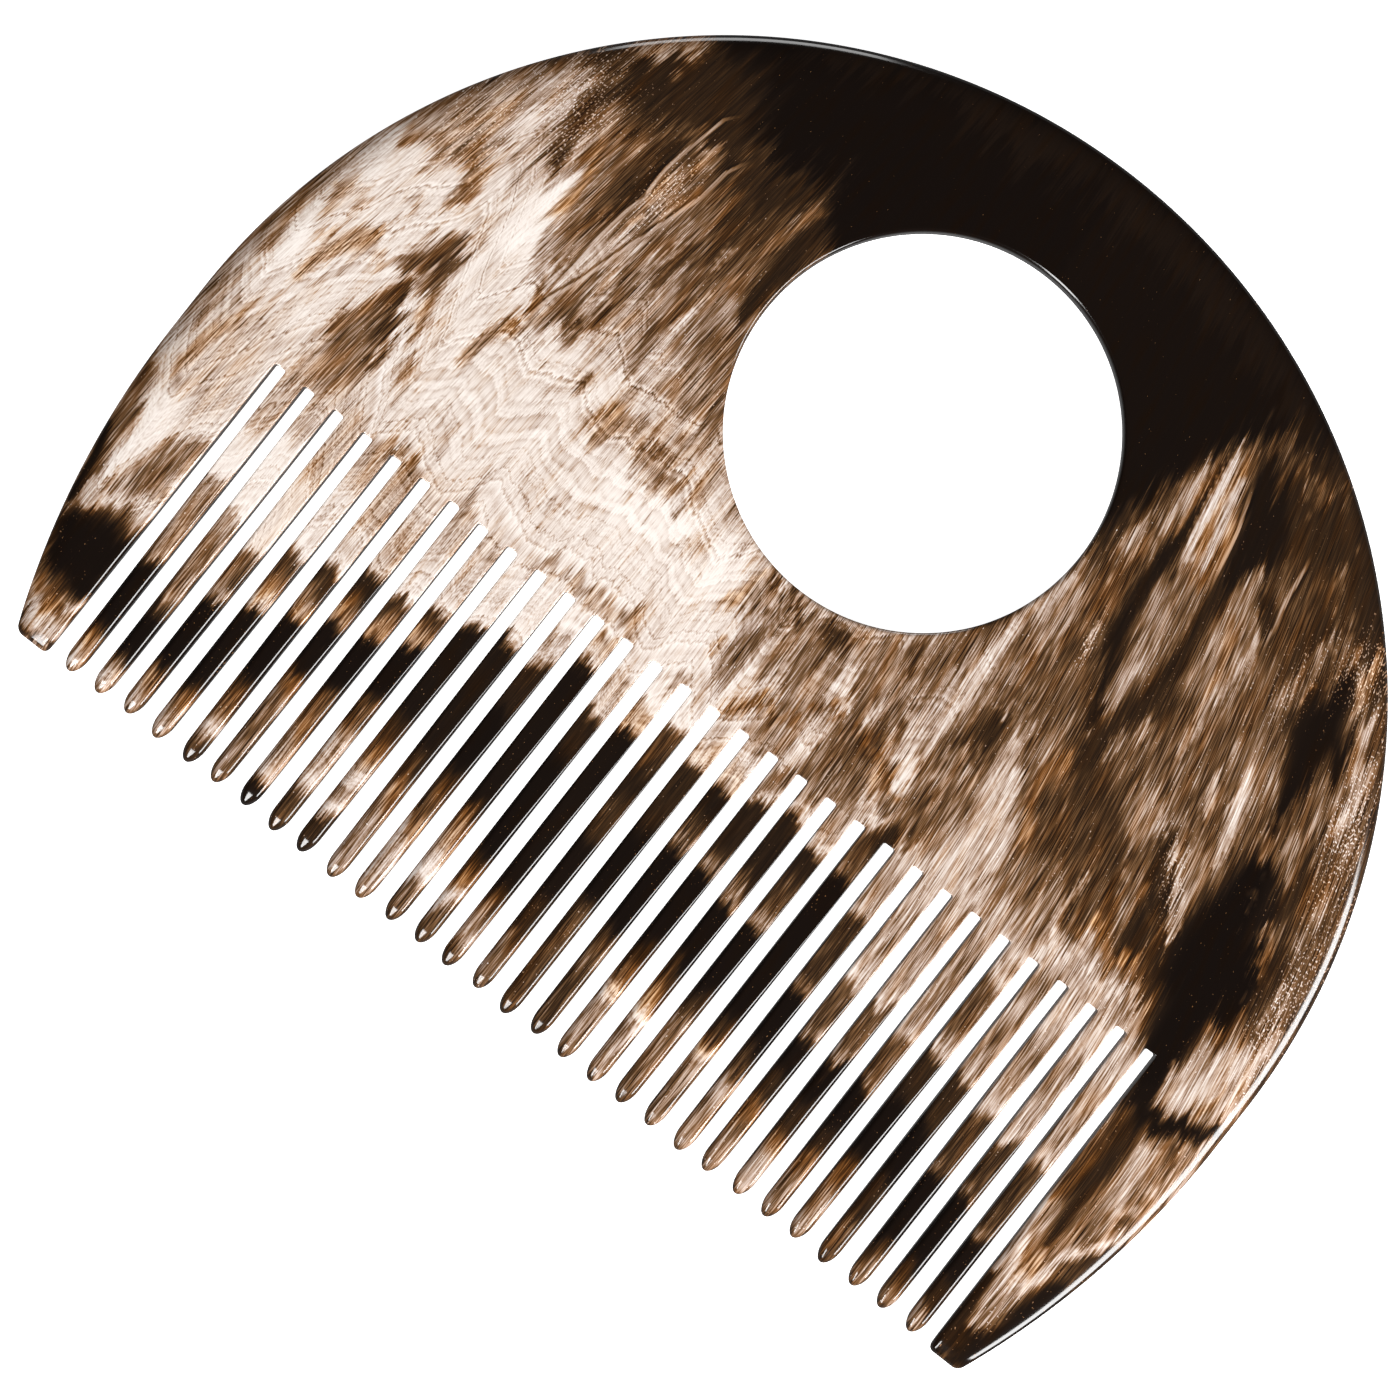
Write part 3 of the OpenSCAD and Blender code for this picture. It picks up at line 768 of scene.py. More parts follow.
UPPER_RIGHT = (
    # The first stroke, a little paler than the crown along its rim, is a painted sheen on the bevel there
    (0.09, 0, -36, 35.5, 1.2, -20, 42, 1.6, 0, 44.4, 1.8, 20, 40.6, 1.8, 28, 36.4, 1.8),
    (0.17, 0.1, 30.5, 34, 3.6, 33, 32, 5.4, 37, 29, 5, 42, 24, 3),
    (0.25, 0.2, 35.6, 27, 2, 36, 20, 2),
    (0.34, 0.1, 35.6, 18, 1.4, 36.4, 11, 1.6),
    (0.16, -0.3, 17.6, 21, 0.9, 17.8, 18.6, 0.8),
    (0.42, 0, 17.3, 15.6, 0.8),
    (0.70, -0.1, 17.2, 13.5, 0.7, 16.4, 10, 0.8),
    (0.58, 0, 18.6, 13, 0.9, 18.8, 9, 0.9),
    (0.62, 0, 19.2, 22.5, 0.5, 19.4, 20.5, 0.7, 19.4, 18.6, 0.6),
    (0.50, 0.1, 20.5, 22, 0.7, 20.6, 19.5, 0.8),
    (0.32, 0.6, 19.6, 18, 0.6, 20.6, 16, 0.8, 20.8, 13, 0.8, 21, 10, 0.8),
    (0.30, 0, 19.5, 26, 0.35),
    (0.38, 0.8, 21.3, 29, 0.35, 21.6, 26, 0.4, 21.5, 23, 0.35),
    (0.60, -0.2, 20.6, 30.5, 0.25, 20.5, 28.5, 0.4, 20.7, 26, 0.55, 20.8, 24, 0.6),
    (0.10, 0, 21.9, 31.5, 0.4, 22.2, 28, 0.5, 22.4, 25.5, 0.5, 22.6, 23, 0.6, 22.4, 20, 0.6, 22.8, 18, 0.8),
    (0.10, 0, 22.8, 18, 0.8, 23.2, 15, 1, 23.8, 13, 1, 24.4, 11.4, 0.8, 25, 10, 0.6, 26.6, 7, 0.5),
    (0.25, 0.4, 23.6, 10, 0.5, 24, 8.6, 0.4),
    (0.70, 0.1, 21.6, 12.6, 0.25, 21.8, 10.6, 0.25, 22.6, 9, 0.25),
    (0.08, 0, 24.8, 32.5, 0.7, 26, 29, 1.2, 27.2, 26, 1.2, 28.2, 23.5, 0.8, 28.6, 21, 0.4),
    (0.08, 0, 27, 31, 1.8, 29, 27, 2, 29, 25, 1),
    (0.42, 0.8, 22.5, 33, 0.3, 22.9, 31, 0.7, 23.6, 28.5, 1.2, 24.6, 26, 1.5, 25.4, 23.5, 1.4, 26, 21, 1.1),
    (0.72, -0.3, 22.3, 32, 0.4, 22.5, 29, 0.4, 22.9, 26.5, 0.4, 23.5, 24.2, 0.5, 24.3, 22.4, 0.45),
    (0.68, -0.3, 23.7, 30, 0.4, 24.1, 28, 0.45, 24.8, 26, 0.5, 25.3, 24, 0.45, 25.7, 22.3, 0.35),
    (0.52, -0.4, 25, 19, 1.4, 25.4, 17, 1.4, 26, 14.6, 1.2, 26.6, 12.4, 0.9, 26.6, 9, 0.6),
    (0.68, 0, 26.1, 14, 0.3, 26.8, 11.6, 0.3),
    (0.62, 0, 25.7, 19, 0.25, 26.4, 15.6, 0.25),
    (0.42, -0.3, 27.6, 19, 0.4, 28, 15, 0.4),
    (0.15, 0, 28.4, 22, 0.7, 28.8, 18, 0.7, 28.9, 15, 0.7, 29.2, 12.6, 0.8, 29.3, 10, 0.9),
    (0.35, 0, 27.5, 35.2, 0.5, 30, 34.8, 0.6, 32, 35, 0.6),
    (0.40, 0.6, 30.6, 33.6, 0.4),
    (0.50, 0, 30, 25, 0.25, 29.9, 23.4, 0.6, 30.4, 21.4, 1.1, 31.2, 19, 1.5, 32, 17, 1.7, 32.6, 14.6, 1.3,
     33, 12.6, 0.9),
    (0.46, 0.5, 31, 19.5, 0.7, 32.2, 17, 0.7, 33, 14.8, 0.6),
    (0.15, 0, 31.6, 23.6, 0.5, 32.8, 22.4, 0.6, 33.6, 21, 0.5),
    (0.68, -0.1, 32.4, 21.4, 0.3, 33.2, 19.6, 0.4, 33.8, 18, 0.35, 33.8, 13.6, 0.3),
    (0.40, -0.4, 36, 29, 0.6),
    (0.25, 0, 30.4, 12, 0.6, 30.6, 9, 0.6),
    (0.60, 0, 33.6, 11, 0.4, 34, 9, 0.4),
    (0.20, 0.3, 37, 26, 1.6, 37.4, 24, 1.2),
    (0.20, -0.4, 40, 26.6, 0.9),
    (0.55, 0, 38.6, 25, 0.4, 38.6, 23.4, 0.5, 39, 22, 0.4, 39.4, 20.5, 0.3),
    (0.50, 0, 38.4, 20, 0.3, 38.6, 16, 0.3),
    (0.40, 0.1, 40.2, 24, 0.8, 41.4, 23.4, 0.8),
    (0.42, 0.6, 40.6, 22.6, 0.4),
    (0.15, 0, 40.6, 20, 0.7, 40.6, 18, 0.7, 41, 15.6, 0.6),
    (0.20, 0, 39.6, 17.6, 0.5, 39.8, 16.4, 0.5),
    (0.50, 0.7, 39.8, 19.2, 0.35),
    (0.06, 0, 42, 20.5, 1.3, 42.4, 18, 1.6, 43, 16, 2, 43.6, 13, 1.4, 43.6, 11, 0.9),
    (0.60, 0.5, 42.8, 24.6, 0.35, 43, 22.4, 0.5, 43.6, 21.4, 0.5, 44, 20.5, 0.35),
    (0.07, 0, 45, 19, 0.6, 45.6, 16.5, 0.9, 46, 15, 0.6),
    (0.45, 0.7, 45.4, 20, 0.4, 46, 18.6, 0.4, 46.6, 16.8, 0.4),
    (0.66, 0, 45.4, 21.2, 0.3, 46, 20.2, 0.35, 46.6, 19, 0.35, 47, 17.8, 0.4, 47.4, 16.4, 0.35),
    (0.25, 0.4, 44.6, 11.4, 0.45),
    (0.30, 0, 45.6, 10, 0.6, 45, 8.6, 0.6),
    (0.58, 0, 48, 18, 0.6, 48.6, 16, 0.7, 49.2, 14, 0.8, 49.2, 12, 0.6),
    (0.75, 0, 49.1, 14.4, 0.3, 48.9, 12, 0.3),
    (0.30, 0, 46, 12.5, 0.6),
    (0.50, 0, 47.4, 14, 0.7, 47.6, 12, 0.7, 47.8, 10.4, 0.7),
    (0.50, 0, 46.6, 9, 0.6, 47, 7, 0.6, 48.4, 6.4, 0.6),
    (0.12, 0, 43.8, 8.5, 0.45),
    (0.50, 0, 44.8, 6.6, 0.6),
    (0.20, 0, 49, 8, 0.8, 50, 6, 0.8, 49.6, 4, 0.8),
    (0.30, 0.4, 51, 8, 0.7, 51.4, 5, 0.7, 51.6, 2.5, 0.7),
    (0.60, 0, 52.2, 6, 0.35, 52.6, 3.4, 0.35),
    (0.35, 0, 53.6, 3, 0.6),
    (0.30, 0.1, 50.6, 12, 0.4, 51, 10, 0.45, 51.6, 8, 0.4),
    (0.45, 0, 39, 12, 1.4, 41.5, 10.5, 1.4),
    (0.62, 0, 40.5, 10, 0.7, 41.2, 8, 0.8),
)
LOWER_RIGHT = (
    (0.55, 0, 22.5, 2.6, 0.8),
    (0.72, 0, 22.4, 1, 0.5, 23, -3, 1, 25, -7, 1.5),
    (0.15, 0, 28.8, 10, 0.9, 28, 7, 0.9, 27.7, 5, 1, 28.4, 3, 1, 29.4, 1.6, 0.9),
    (0.55, -0.3, 29.2, 7.2, 0.45, 29, 5.2, 0.5, 29.2, 3.5, 0.25),
    (0.55, 0, 30.4, 8, 0.5, 31, 6.6, 0.5),
    (0.32, 0, 32.4, 7.6, 0.7),
    (0.38, 0, 35, 7.6, 0.7),
    (0.30, 0, 24.8, 5.6, 0.6, 26, 5, 0.6),
    (0.50, 0, 25, 4, 0.8, 25, 1, 0.8),
    (0.48, 0.8, 26.6, 3, 0.7, 26.4, 0, 0.7, 26.6, -2.7, 0.7),
    (0.70, 0, 24.5, -9, 2.8, 24.5, -13, 3),
    (0.76, 0, 24.6, -3, 1, 25.6, -5, 1.3, 26.8, -7, 1.1, 27, -9, 0.9),
    (0.55, 0.7, 27.4, -3.6, 0.5, 28.4, -5.5, 0.6),
    (0.40, 0.1, 30.6, -7, 2, 30.6, -9.4, 2.2, 33, -8.6, 1.8),
    (0.26, 0.2, 30, -3.6, 1.6, 33, -4.2, 1.8, 36, -5, 1.6),
    (0.26, 0.7, 38, -5.6, 1.8, 42, -6.6, 2.2, 45, -8.4, 1.8),
    (0.22, 0, 29.4, 1.4, 1.2, 31, 0, 1.6, 33.4, -1.4, 1.6, 35.4, -2, 1.2),
    (0.52, 0.1, 34.4, 3.2, 0.9, 35, 1.6, 1, 34.6, 0.5, 0.5),
    (0.60, 0, 35.8, 4.6, 0.3, 36.4, 2.8, 0.35, 37.6, 2.4, 0.3),
    (0.68, 0, 38.4, 8.2, 0.5, 38.8, 6.4, 0.6, 39.2, 4.9, 0.25),
    (0.80, 0, 40.4, 8, 0.5, 41.2, 6.4, 0.6, 41.8, 5, 0.5, 42.4, 3.5, 0.25),
    (0.50, 0, 37.6, 4.5, 0.6),
    (0.42, 0, 39.5, 3.4, 0.6),
    (0.55, 0, 40.2, 3, 0.3, 40.8, 1, 0.3),
    (0.33, 0.6, 43.6, 2, 0.5),
    (0.45, 0, 44.8, 7.5, 0.8),
    (0.60, 0, 34.6, -5, 0.3, 34.8, -9, 0.3, 35, -11, 0.3),
    (0.30, 0.3, 35.6, -5, 0.8, 37, -7, 0.9),
    (0.14, 0, 38, 2, 0.5, 38.6, -0.6, 0.8, 39.6, -1.6, 0.9, 40.8, -2.6, 0.9, 41.8, -3.7, 0.6),
    (0.65, 0, 36.4, -1, 0.3, 37, -2, 0.3),
    (0.42, 0, 38, -3, 0.5, 38.6, -5, 0.6, 39.4, -7.2, 0.4),
    (0.15, 0, 40, -4.5, 0.9, 41, -6.6, 1.2),
    (0.42, 0.9, 37, -8, 0.8, 39, -8.4, 0.9, 41, -8.6, 0.9, 42.6, -9, 0.7),
    (0.62, 0, 36, -10, 0.7, 40, -10.4, 0.7, 44, -11.2, 0.7),
    (0.62, 0, 37, -13.2, 0.9, 45, -13.4, 0.9),
    (0.80, 0, 35.4, -11.2, 0.45, 37, -11.8, 0.5, 40, -11.4, 0.5, 43, -11.6, 0.5, 45.6, -11.8, 0.4),
    (0.58, 0, 29, -12, 1.6, 33, -12, 1.6),
    (0.30, 0.7, 43.6, -8, 0.9, 45, -10, 0.9, 46.6, -11.8, 0.9, 47.2, -13.4, 0.6),
    (0.10, 0, 48, 4.4, 1.2, 48.6, 2.6, 1.3),
    (0.04, 0, 45.8, 4, 1.6, 46.4, 0, 2.8, 47, -4, 3.8, 47.8, -6.6, 4.2, 48.7, -9.4, 2.8, 49, -12.5, 1.8),
    (0.04, 0, 49, -12.5, 1.8, 49.6, -15, 1.5, 50.3, -17.6, 1.3),
    (0.04, 0, 50, -2, 2.3, 50.5, -6, 2.5),
    (0.50, 0, 41, 2, 0.7, 42, 0.6, 0.7, 42.6, -1, 0.7),
    (0.65, 0, 39, 1.4, 0.35, 40.4, 0.2, 0.5, 41, -0.6, 0.5, 41.6, -2, 0.4, 42.4, -3.6, 0.3, 43.4, -4.7, 0.25),
    (0.55, 0, 42.2, -0.5, 0.3, 43.2, -3, 0.3, 43.6, -4.4, 0.3),
    (0.30, 0.2, 46.8, 2, 0.35),
    (0.50, 0.6, 49.6, 1, 0.45, 51, -0.5, 0.5, 51, -2.5, 0.5),
    (0.60, 0, 52.6, 2, 0.35, 53, 1, 0.35),
    (0.15, 0, 52, -0.7, 1),
    (0.25, 0, 53.5, -2, 1, 53.4, -4.6, 0.8),
    (0.55, 0, 54, -2, 0.3, 54.6, -5, 0.3),
    (0.40, 0, 55, -1, 0.4, 55.4, -5, 0.4),
    (0.33, 0.7, 53, -6.5, 0.6, 54.2, -8, 0.6),
    (0.35, 0.7, 51.5, -9.5, 0.7, 52.6, -8.6, 0.7),
    (0.60, 0, 52.4, -11, 1, 52.4, -15, 1),
    (0.70, 0, 55, -9, 1.2, 54.6, -11, 1.3, 54, -13, 1.3, 53, -14.5, 1.2),
    # This stroke along the right rim is partly pale horn and partly a painted highlight of the rim
    (0.72, 0, 56.2, -6, 0.7, 56.2, -13, 0.8),
    (0.60, 0, 50.6, -12.6, 0.25, 51, -14, 0.25, 51.4, -16.6, 0.25),
    (0.45, 0.7, 55.2, -13, 0.45, 54.6, -15, 0.4),
    (0.30, 0.1, 56.8, -14.5, 0.5),
)
GUARDS = (
    (0.46, 0.3, 53.4, -20, 3.2, 52.6, -33, 2.6),
    (0.24, 0.7, 49.8, -18, 1, 50, -24, 1, 50, -28, 0.7),
    (0.15, 0.1, 51.2, -19.5, 0.8, 51.4, -24, 0.8, 51.4, -28, 0.6, 51.6, -32.5, 0.4),
    (0.62, 0, 53.6, -21, 0.9, 53.8, -26, 1),
    (0.06, 0, 50, -17.6, 1.1, 51.4, -17.9, 1.1, 53, -17.7, 1.1, 55, -16.8, 1, 57, -16, 0.8),
    (0.65, 0, 53, -20.3, 0.35, 54.4, -19.8, 0.3),
    (0.25, 0, 55.4, -19.4, 0.7),
    (0.70, 0, 56, -22.8, 0.7),
    (0.35, 0, 55.6, -20.8, 0.5),
    (0.40, 0.3, 55.5, -24.6, 0.8),
    (0.66, 0, 55, -26.3, 0.35, 56.4, -25.7, 0.3),
    (0.28, 0, 55.8, -27.4, 0.7),
    (0.60, 0, 50, -30, 0.5, 50.4, -33, 0.6),
    (0.55, 0, 54, -28.6, 0.8),
    (0.22, -0.2, 56.2, -29.6, 0.9, 55.2, -33, 1.6),
    (0.08, 0, 54.8, -36, 1.6, 53.6, -40, 2, 51.8, -44, 2.8, 50, -44.8, 2),
    (0.12, 0.3, 49.6, -37.5, 0.6, 49.8, -41, 1, 50.2, -44, 1.6),
    (0.52, -0.4, 51.4, -37.4, 1.2, 51.6, -40, 1.1, 51.3, -41.6, 0.8),
    (0.80, 0, 56.2, -28.8, 0.35, 54.6, -31, 0.4, 53.4, -32.6, 0.4, 52.8, -35, 0.4, 51.9, -36.4, 0.4),
    (0.78, 0, 49.8, -33.6, 0.35, 50.8, -35.4, 0.4, 51.9, -36.4, 0.4),
    (0.50, 0.7, 50.8, -33.6, 0.35, 51.8, -35.2, 0.4, 52.2, -33.4, 0.35),
    (0.40, 0.7, 53.2, -45, 0.5),
    (0.76, 0.1, -53, -13, 3.4, -53, -19, 3.4),
    (0.50, 0.6, -53.4, -12.2, 0.4, -54.2, -14, 0.4, -54.8, -16, 0.4, -55.4, -19, 0.4),
    (0.90, 0, -54, -22, 1.4, -54.4, -26, 1.2, -54.4, -30, 0.7),
    (0.50, 0.5, -56.4, -21.4, 0.4),
    (0.45, 0.1, -57.6, -19, 0.4, -57, -23, 0.8, -56.4, -25, 0.9, -56, -28, 0.6, -55, -31.5, 0.3),
    (0.45, 0.1, -49.2, -23, 0.4, -50.6, -25.5, 1.4, -51.4, -28, 1.6, -53.4, -31, 0.6),
    (0.50, 0.6, -49.8, -28.5, 0.8),
    (0.05, 0, -48.6, -35, 2, -51, -35.4, 3.6, -53.4, -36, 2.6),
    (0.05, 0, -48.8, -39, 1.4, -53, -38.4, 2.2),
    (0.80, 0, -49, -29.6, 0.4, -51, -30.5, 0.4, -52.8, -31.9, 0.4, -54.2, -33.4, 0.4),
    (0.12, 0, -57, -27, 0.4, -56.2, -30, 0.5, -55.5, -33, 0.4),
    (0.20, 0.1, -52, -40.7, 1.2),
    (0.40, 0.8, -53.4, -41.3, 0.7, -51, -42, 0.7, -49.4, -42.8, 0.7),
    (0.70, 0, -53, -44, 1.1, -50, -44.2, 1.1),
    (0.25, -0.3, -53.4, -45.6, 0.5, -49, -45.6, 0.5),
)
# Bands of each thin tooth from the left, as the y where one begins, its tone and its hue, from the root down
TEETH = (
    (-14, 0.72, 0.1, -19, 0.9, 0, -24.5, 0.5, 0.2, -34, 0.05, 0, -42, 0.4, 0.8, -44, 0.72, 0),
    (-14, 0.72, 0.1, -18, 0.9, 0, -27, 0.48, 0.1, -36.5, 0.2, -0.3, -37.8, 0.05, 0, -43, 0.4, 0.8,
     -44.3, 0.7, 0),
    (-13, 0.72, 0.2, -20, 0.85, 0.1, -28, 0.42, 0.1, -34, 0.05, 0, -41, 0.4, 0.8, -43.2, 0.65, 0),
    (-13, 0.68, 0.2, -18, 0.84, 0, -25.8, 0.25, 0, -28, 0.42, 0.8, -30, 0.62, 0.1, -31.3, 0.06, 0,
     -40.3, 0.38, 0.9, -41.8, 0.6, 0),
    (-13, 0.66, 0.2, -20, 0.78, 0, -24.6, 0.2, 0, -28, 0.42, 0.4, -30.5, 0.05, 0, -37.5, 0.34, 0.6,
     -41.8, 0.62, 0, -43.5, 0.25, 0),
    (-13, 0.76, 0.1, -18, 0.7, 0.1, -22.9, 0.13, 0, -25.5, 0.4, 0.8, -28.6, 0.06, 0, -34, 0.38, 0.8,
     -36.2, 0.4, -0.2),
    (-13, 0.68, 0.1, -17, 0.82, 0, -22.9, 0.2, 0, -25, 0.42, 0.8, -27.6, 0.05, 0, -33, 0.35, 0.4,
     -35.6, 0.42, 0.8, -37.8, 0.6, 0, -43.3, 0.1, 0),
    (-13, 0.72, 0.1, -16, 0.8, 0, -22.2, 0.2, 0, -23.6, 0.42, 0.8, -26, 0.05, 0, -32, 0.34, 0.7,
     -35.5, 0.6, 0, -41.4, 0.25, 0),
    (-20.7, 0.08, 0, -30.5, 0.2, 0.4, -33.6, 0.42, 0.9, -35.4, 0.68, 0, -38.3, 0.5, 0.1, -40.2, 0.72, 0,
     -41.8, 0.18, -0.2),
    (-19.8, 0.1, 0, -33, 0.2, 0.3, -36, 0.38, 0.6, -39, 0.52, -0.3),
    (-17, 0.62, -0.2, -19.6, 0.14, 0.2, -25, 0.05, 0, -31.9, 0.22, 0.6, -34, 0.32, 0.2, -36.5, 0.44, 0.8,
     -38.4, 0.64, 0),
    (-14.6, 0.55, 0.4, -16, 0.72, 0, -17.6, 0.07, 0, -34, 0.36, 0.8, -36, 0.5, 0.5, -38.4, 0.7, 0,
     -41.5, 0.32, -0.4),
    (-16.8, 0.66, 0.1, -19.9, 0.14, 0.2, -25, 0.05, 0, -36, 0.22, 0.8, -38, 0.42, 0.9, -40, 0.66, -0.2,
     -42, 0.4, -0.3),
    (-16.6, 0.55, 0.4, -19, 0.07, 0, -37.3, 0.2, 0.8, -39, 0.36, 0.3, -41, 0.46, -0.3, -43.8, 0.28, 0),
    (-16.4, 0.26, 0.2, -21.1, 0.12, 0, -24, 0.22, 0.2, -29, 0.07, 0, -36, 0.15, 0.2, -40.2, 0.34, 0.7,
     -42, 0.42, -0.4),
    (-16, 0.66, 0.2, -18.9, 0.16, 0, -25.5, 0.05, 0, -34, 0.27, 0.1),
    (-16, 0.6, 0.3, -18.3, 0.1, 0, -22, 0.3, 0, -24.8, 0.05, 0, -34, 0.3, 0.5, -36, 0.4, -0.4, -38, 0.3, 0),
    (-17.5, 0.13, 0, -23, 0.28, 0, -25.3, 0.05, 0, -33.5, 0.2, 0.7, -36, 0.38, 0.8, -38.6, 0.72, 0,
     -39.6, 0.5, -0.2),
    (-16.9, 0.12, 0, -24, 0.4, 0, -26.5, 0.05, 0, -33, 0.2, 0.6, -36, 0.36, 0.8, -37.9, 0.72, 0,
     -39.3, 0.52, 0),
    (-17.8, 0.13, 0, -21, 0.25, 0, -24, 0.45, -0.1, -25.9, 0.05, 0, -34, 0.2, 0.1, -37, 0.42, -0.4,
     -38.5, 0.35, 0),
    (-13, 0.3, 0, -17.9, 0.05, 0, -34, 0.2, 0.2, -36, 0.42, 0.9, -37.2, 0.68, 0, -38.3, 0.5, 0),
    (-13, 0.56, 0, -19.9, 0.22, 0, -28.2, 0.05, 0, -35, 0.25, 0, -37.8, 0.7, 0, -40.5, 0.58, 0),
    (-14, 0.62, 0, -24.4, 0.34, -0.2, -31, 0.06, 0, -35, 0.16, 0, -38.6, 0.38, 0.9, -41.4, 0.52, 0),
    (-14, 0.6, 0, -24.6, 0.27, 0, -31.2, 0.05, 0, -35.4, 0.17, 0, -39.8, 0.38, 0.8, -41.4, 0.52, 0),
    (-14, 0.52, 0, -25.8, 0.3, 0, -31.5, 0.05, 0, -36, 0.14, 0.2, -38.8, 0.34, 0.8, -41.5, 0.48, 0),
    (-14, 0.58, 0, -16.8, 0.34, 0.1, -22, 0.56, 0, -24.6, 0.16, 0, -30, 0.05, 0, -37.2, 0.32, 0.9,
     -41, 0.48, 0),
    (-14, 0.52, 0, -25.6, 0.18, 0, -31, 0.05, 0, -37, 0.16, 0.2, -41, 0.36, 0.3),
    (-14, 0.7, 0, -18.5, 0.56, 0, -27, 0.25, 0, -34.3, 0.05, 0, -41.4, 0.22, 0.6, -43.6, 0.45, 0),
    (-14, 0.7, 0, -18.7, 0.56, 0, -27.2, 0.25, 0, -34.3, 0.05, 0, -41.4, 0.22, 0.6, -44, 0.45, 0),
    (-14, 0.68, 0, -19, 0.56, 0, -28, 0.25, 0, -35.3, 0.06, 0, -40, 0.15, 0.6, -43.8, 0.48, 0),
)

# Pale lines that a painted shadow beside each makes look raised, as x and y by turns from below upwards
RIDGES = (
    (-34, 6.7, -33.6, 9, -33.4, 13, -33, 16, -32.4, 18, -32.6, 19, -32.6, 21, -32, 24, -31.2, 27.5, -30, 29),
    (-34.3, 2.4, -33.5, 6, -32.3, 9, -31, 13.5, -30, 16.5, -29.2, 19, -28.6, 21, -28.2, 24, -27, 26.5),
    (27.4, 21.4, 26.8, 24, 26.2, 26.8, 25.3, 29.4, 24.5, 31.8),
    (34.3, 20.4, 33.9, 22.4, 33.4, 24, 33.1, 25.6, 32.8, 28, 32.4, 29.8),
)
RIDGE_TONE = 0.74
# Length over which the ends of a ridge taper off
RIDGE_FADE = 2.5
# Crowds of bright sparks, as (x, y, half width, half length, lean, how dense)
SPARKS = (
    (-42, 21, 3.0, 6.0, 0, 1.0),
    (-31, 20, 1.8, 5.0, 6, 1.0),
    (-47, 14, 4.0, 6.0, 0, 0.6),
    (-37, 24, 3.0, 3.0, 0, 0.4),
    (43, 24, 3.0, 4.0, -35, 0.9),
    (50, 12, 2.0, 8.0, -20, 0.9),
    (55, -2, 2.0, 9.0, -5, 0.9),
    (22, 11, 0.6, 2.5, -10, 1.0),
    (40, 0, 1.2, 4.0, -35, 0.8),
    (38.5, 20, 1.5, 6.0, -8, 0.5),
    (-3, 36, 34, 14, 0, -0.3),
)

# Course of one growth line from left to right, as x and y by turns
GROWTH_LINE = (
    -58, -8, -54.5, -14, -49, -4, -43, 4, -38.5, -8, -35.5, -3.5, -31, -6, -27, -4, -22, -6, -17, -5,
    -11, -5.2, -8, -7, -4, -4, 0, -8, 4, -5, 9, -4, 13, -7, 18, -5, 24, -8, 34, -6, 44, -8, 49.5, -8,
    51.8, -15, 55, -8, 58, -4,
)
# How much of the growth lines shows on the right, and where they fade to that
GROWTH_RIGHT = 0.25
GROWTH_FADE = (12, 20)

# Bands of the thin teeth: where they begin, the tone above the first, and how soft a border is.
# One that darkens by more than CRISP_DROP is crisp.
BANDS_TOP = -11
BANDS_TONE = 0.8
CRISP_DROP = 0.15
CRISP_BORDER = 0.9
SOFT_BORDER = 2.2
# Pale fringe above a crisp border: half its height, how full, how much paler, its palest tone and strength
FRINGE_H = 0.8
FRINGE_CORE = 1.3
FRINGE_RISE = 0.2
FRINGE_PALEST = 0.92
FRINGE_SHARE = 0.8

# Drift of the figure from the chart, in layers of (how far, stretch along the teeth, size of a drift, seed)
DRIFT_ACROSS = ((0.3, 3, 2.2, 3),)
DRIFT_ALONG = ((0.8, 5, 2.4, 1), (0.5, 3, 1.3, 2))
GROWTH_SWELL = ((1.4, 3.5, 3.0, 8), (0.5, 4, 1.1, 9))
# Knots of the noise along each side of its grid
KNOTS = 128

# The figure runs through the plate at a slant, by this much along the teeth per mm of depth
SINK = 0.6
# How far along the grain the tones are charted, so that the borders of the figure can be frayed
NEAR = 0.7
FAR = 2.6
# The fibres lean towards GRAIN_X as they run up from GRAIN_LOW, and lie closer by GRAIN_CLOSE after GRAIN_RUN
GRAIN_X = -10
GRAIN_LOW = -30
GRAIN_RUN = 75
GRAIN_CLOSE = 0.42
# How soft the borders of the strokes and of the crowds of sparks are, as a share of their half width
STROKE_SOFT = 0.55
OVAL_SOFT = 0.7
# Two points of a stroke are one where the square of their distance is less
ONE_POINT = 0.01
# Painted shade over the edges: how dark the horn turns there, and after what share of half the thickness
PAINTED_SHADE_LEVEL = 0.6
PAINTED_SHADE_TURN = 0.6


def smooth(t):
    """The soft step of ease() for arrays."""
    t = np.clip(t, 0, 1)
    return t * t * (3 - 2 * t)


def between(value, start, end):
    """0 at the start and 1 at the end, with soft corners."""
    return smooth((value - start) / (end - start))


def wander(x, y, size, seed):
    """Smooth noise from -1 to 1 over a square grid of random knots."""
    knots = np.random.RandomState(seed).uniform(-1, 1, (KNOTS, KNOTS))
    u = x / size + KNOTS / 2
    v = y / size + KNOTS / 2
    i = np.floor(u).astype(int)
    j = np.floor(v).astype(int)
    across = smooth(u - i)
    here = mix(knots[i % KNOTS, j % KNOTS], knots[(i + 1) % KNOTS, j % KNOTS], across)
    above = mix(knots[i % KNOTS, (j + 1) % KNOTS], knots[(i + 1) % KNOTS, (j + 1) % KNOTS], across)
    return mix(here, above, smooth(v - j))


def drift(x, y, layers):
    """The sum of several layers of smooth noise."""
    return sum(far * wander(x, y / stretch, size, seed) for far, stretch, size, seed in layers)


def oval(x, y, cx, cy, half_w, half_l, lean):
    """1 inside a leaning oval and 0 outside, with a soft border."""
    turn = radians(lean)
    across = ((x - cx) * cos(turn) - (y - cy) * sin(turn)) / half_w
    along = ((x - cx) * sin(turn) + (y - cy) * cos(turn)) / half_l
    return smooth((1 + OVAL_SOFT - np.hypot(across, along)) / (2 * OVAL_SOFT))


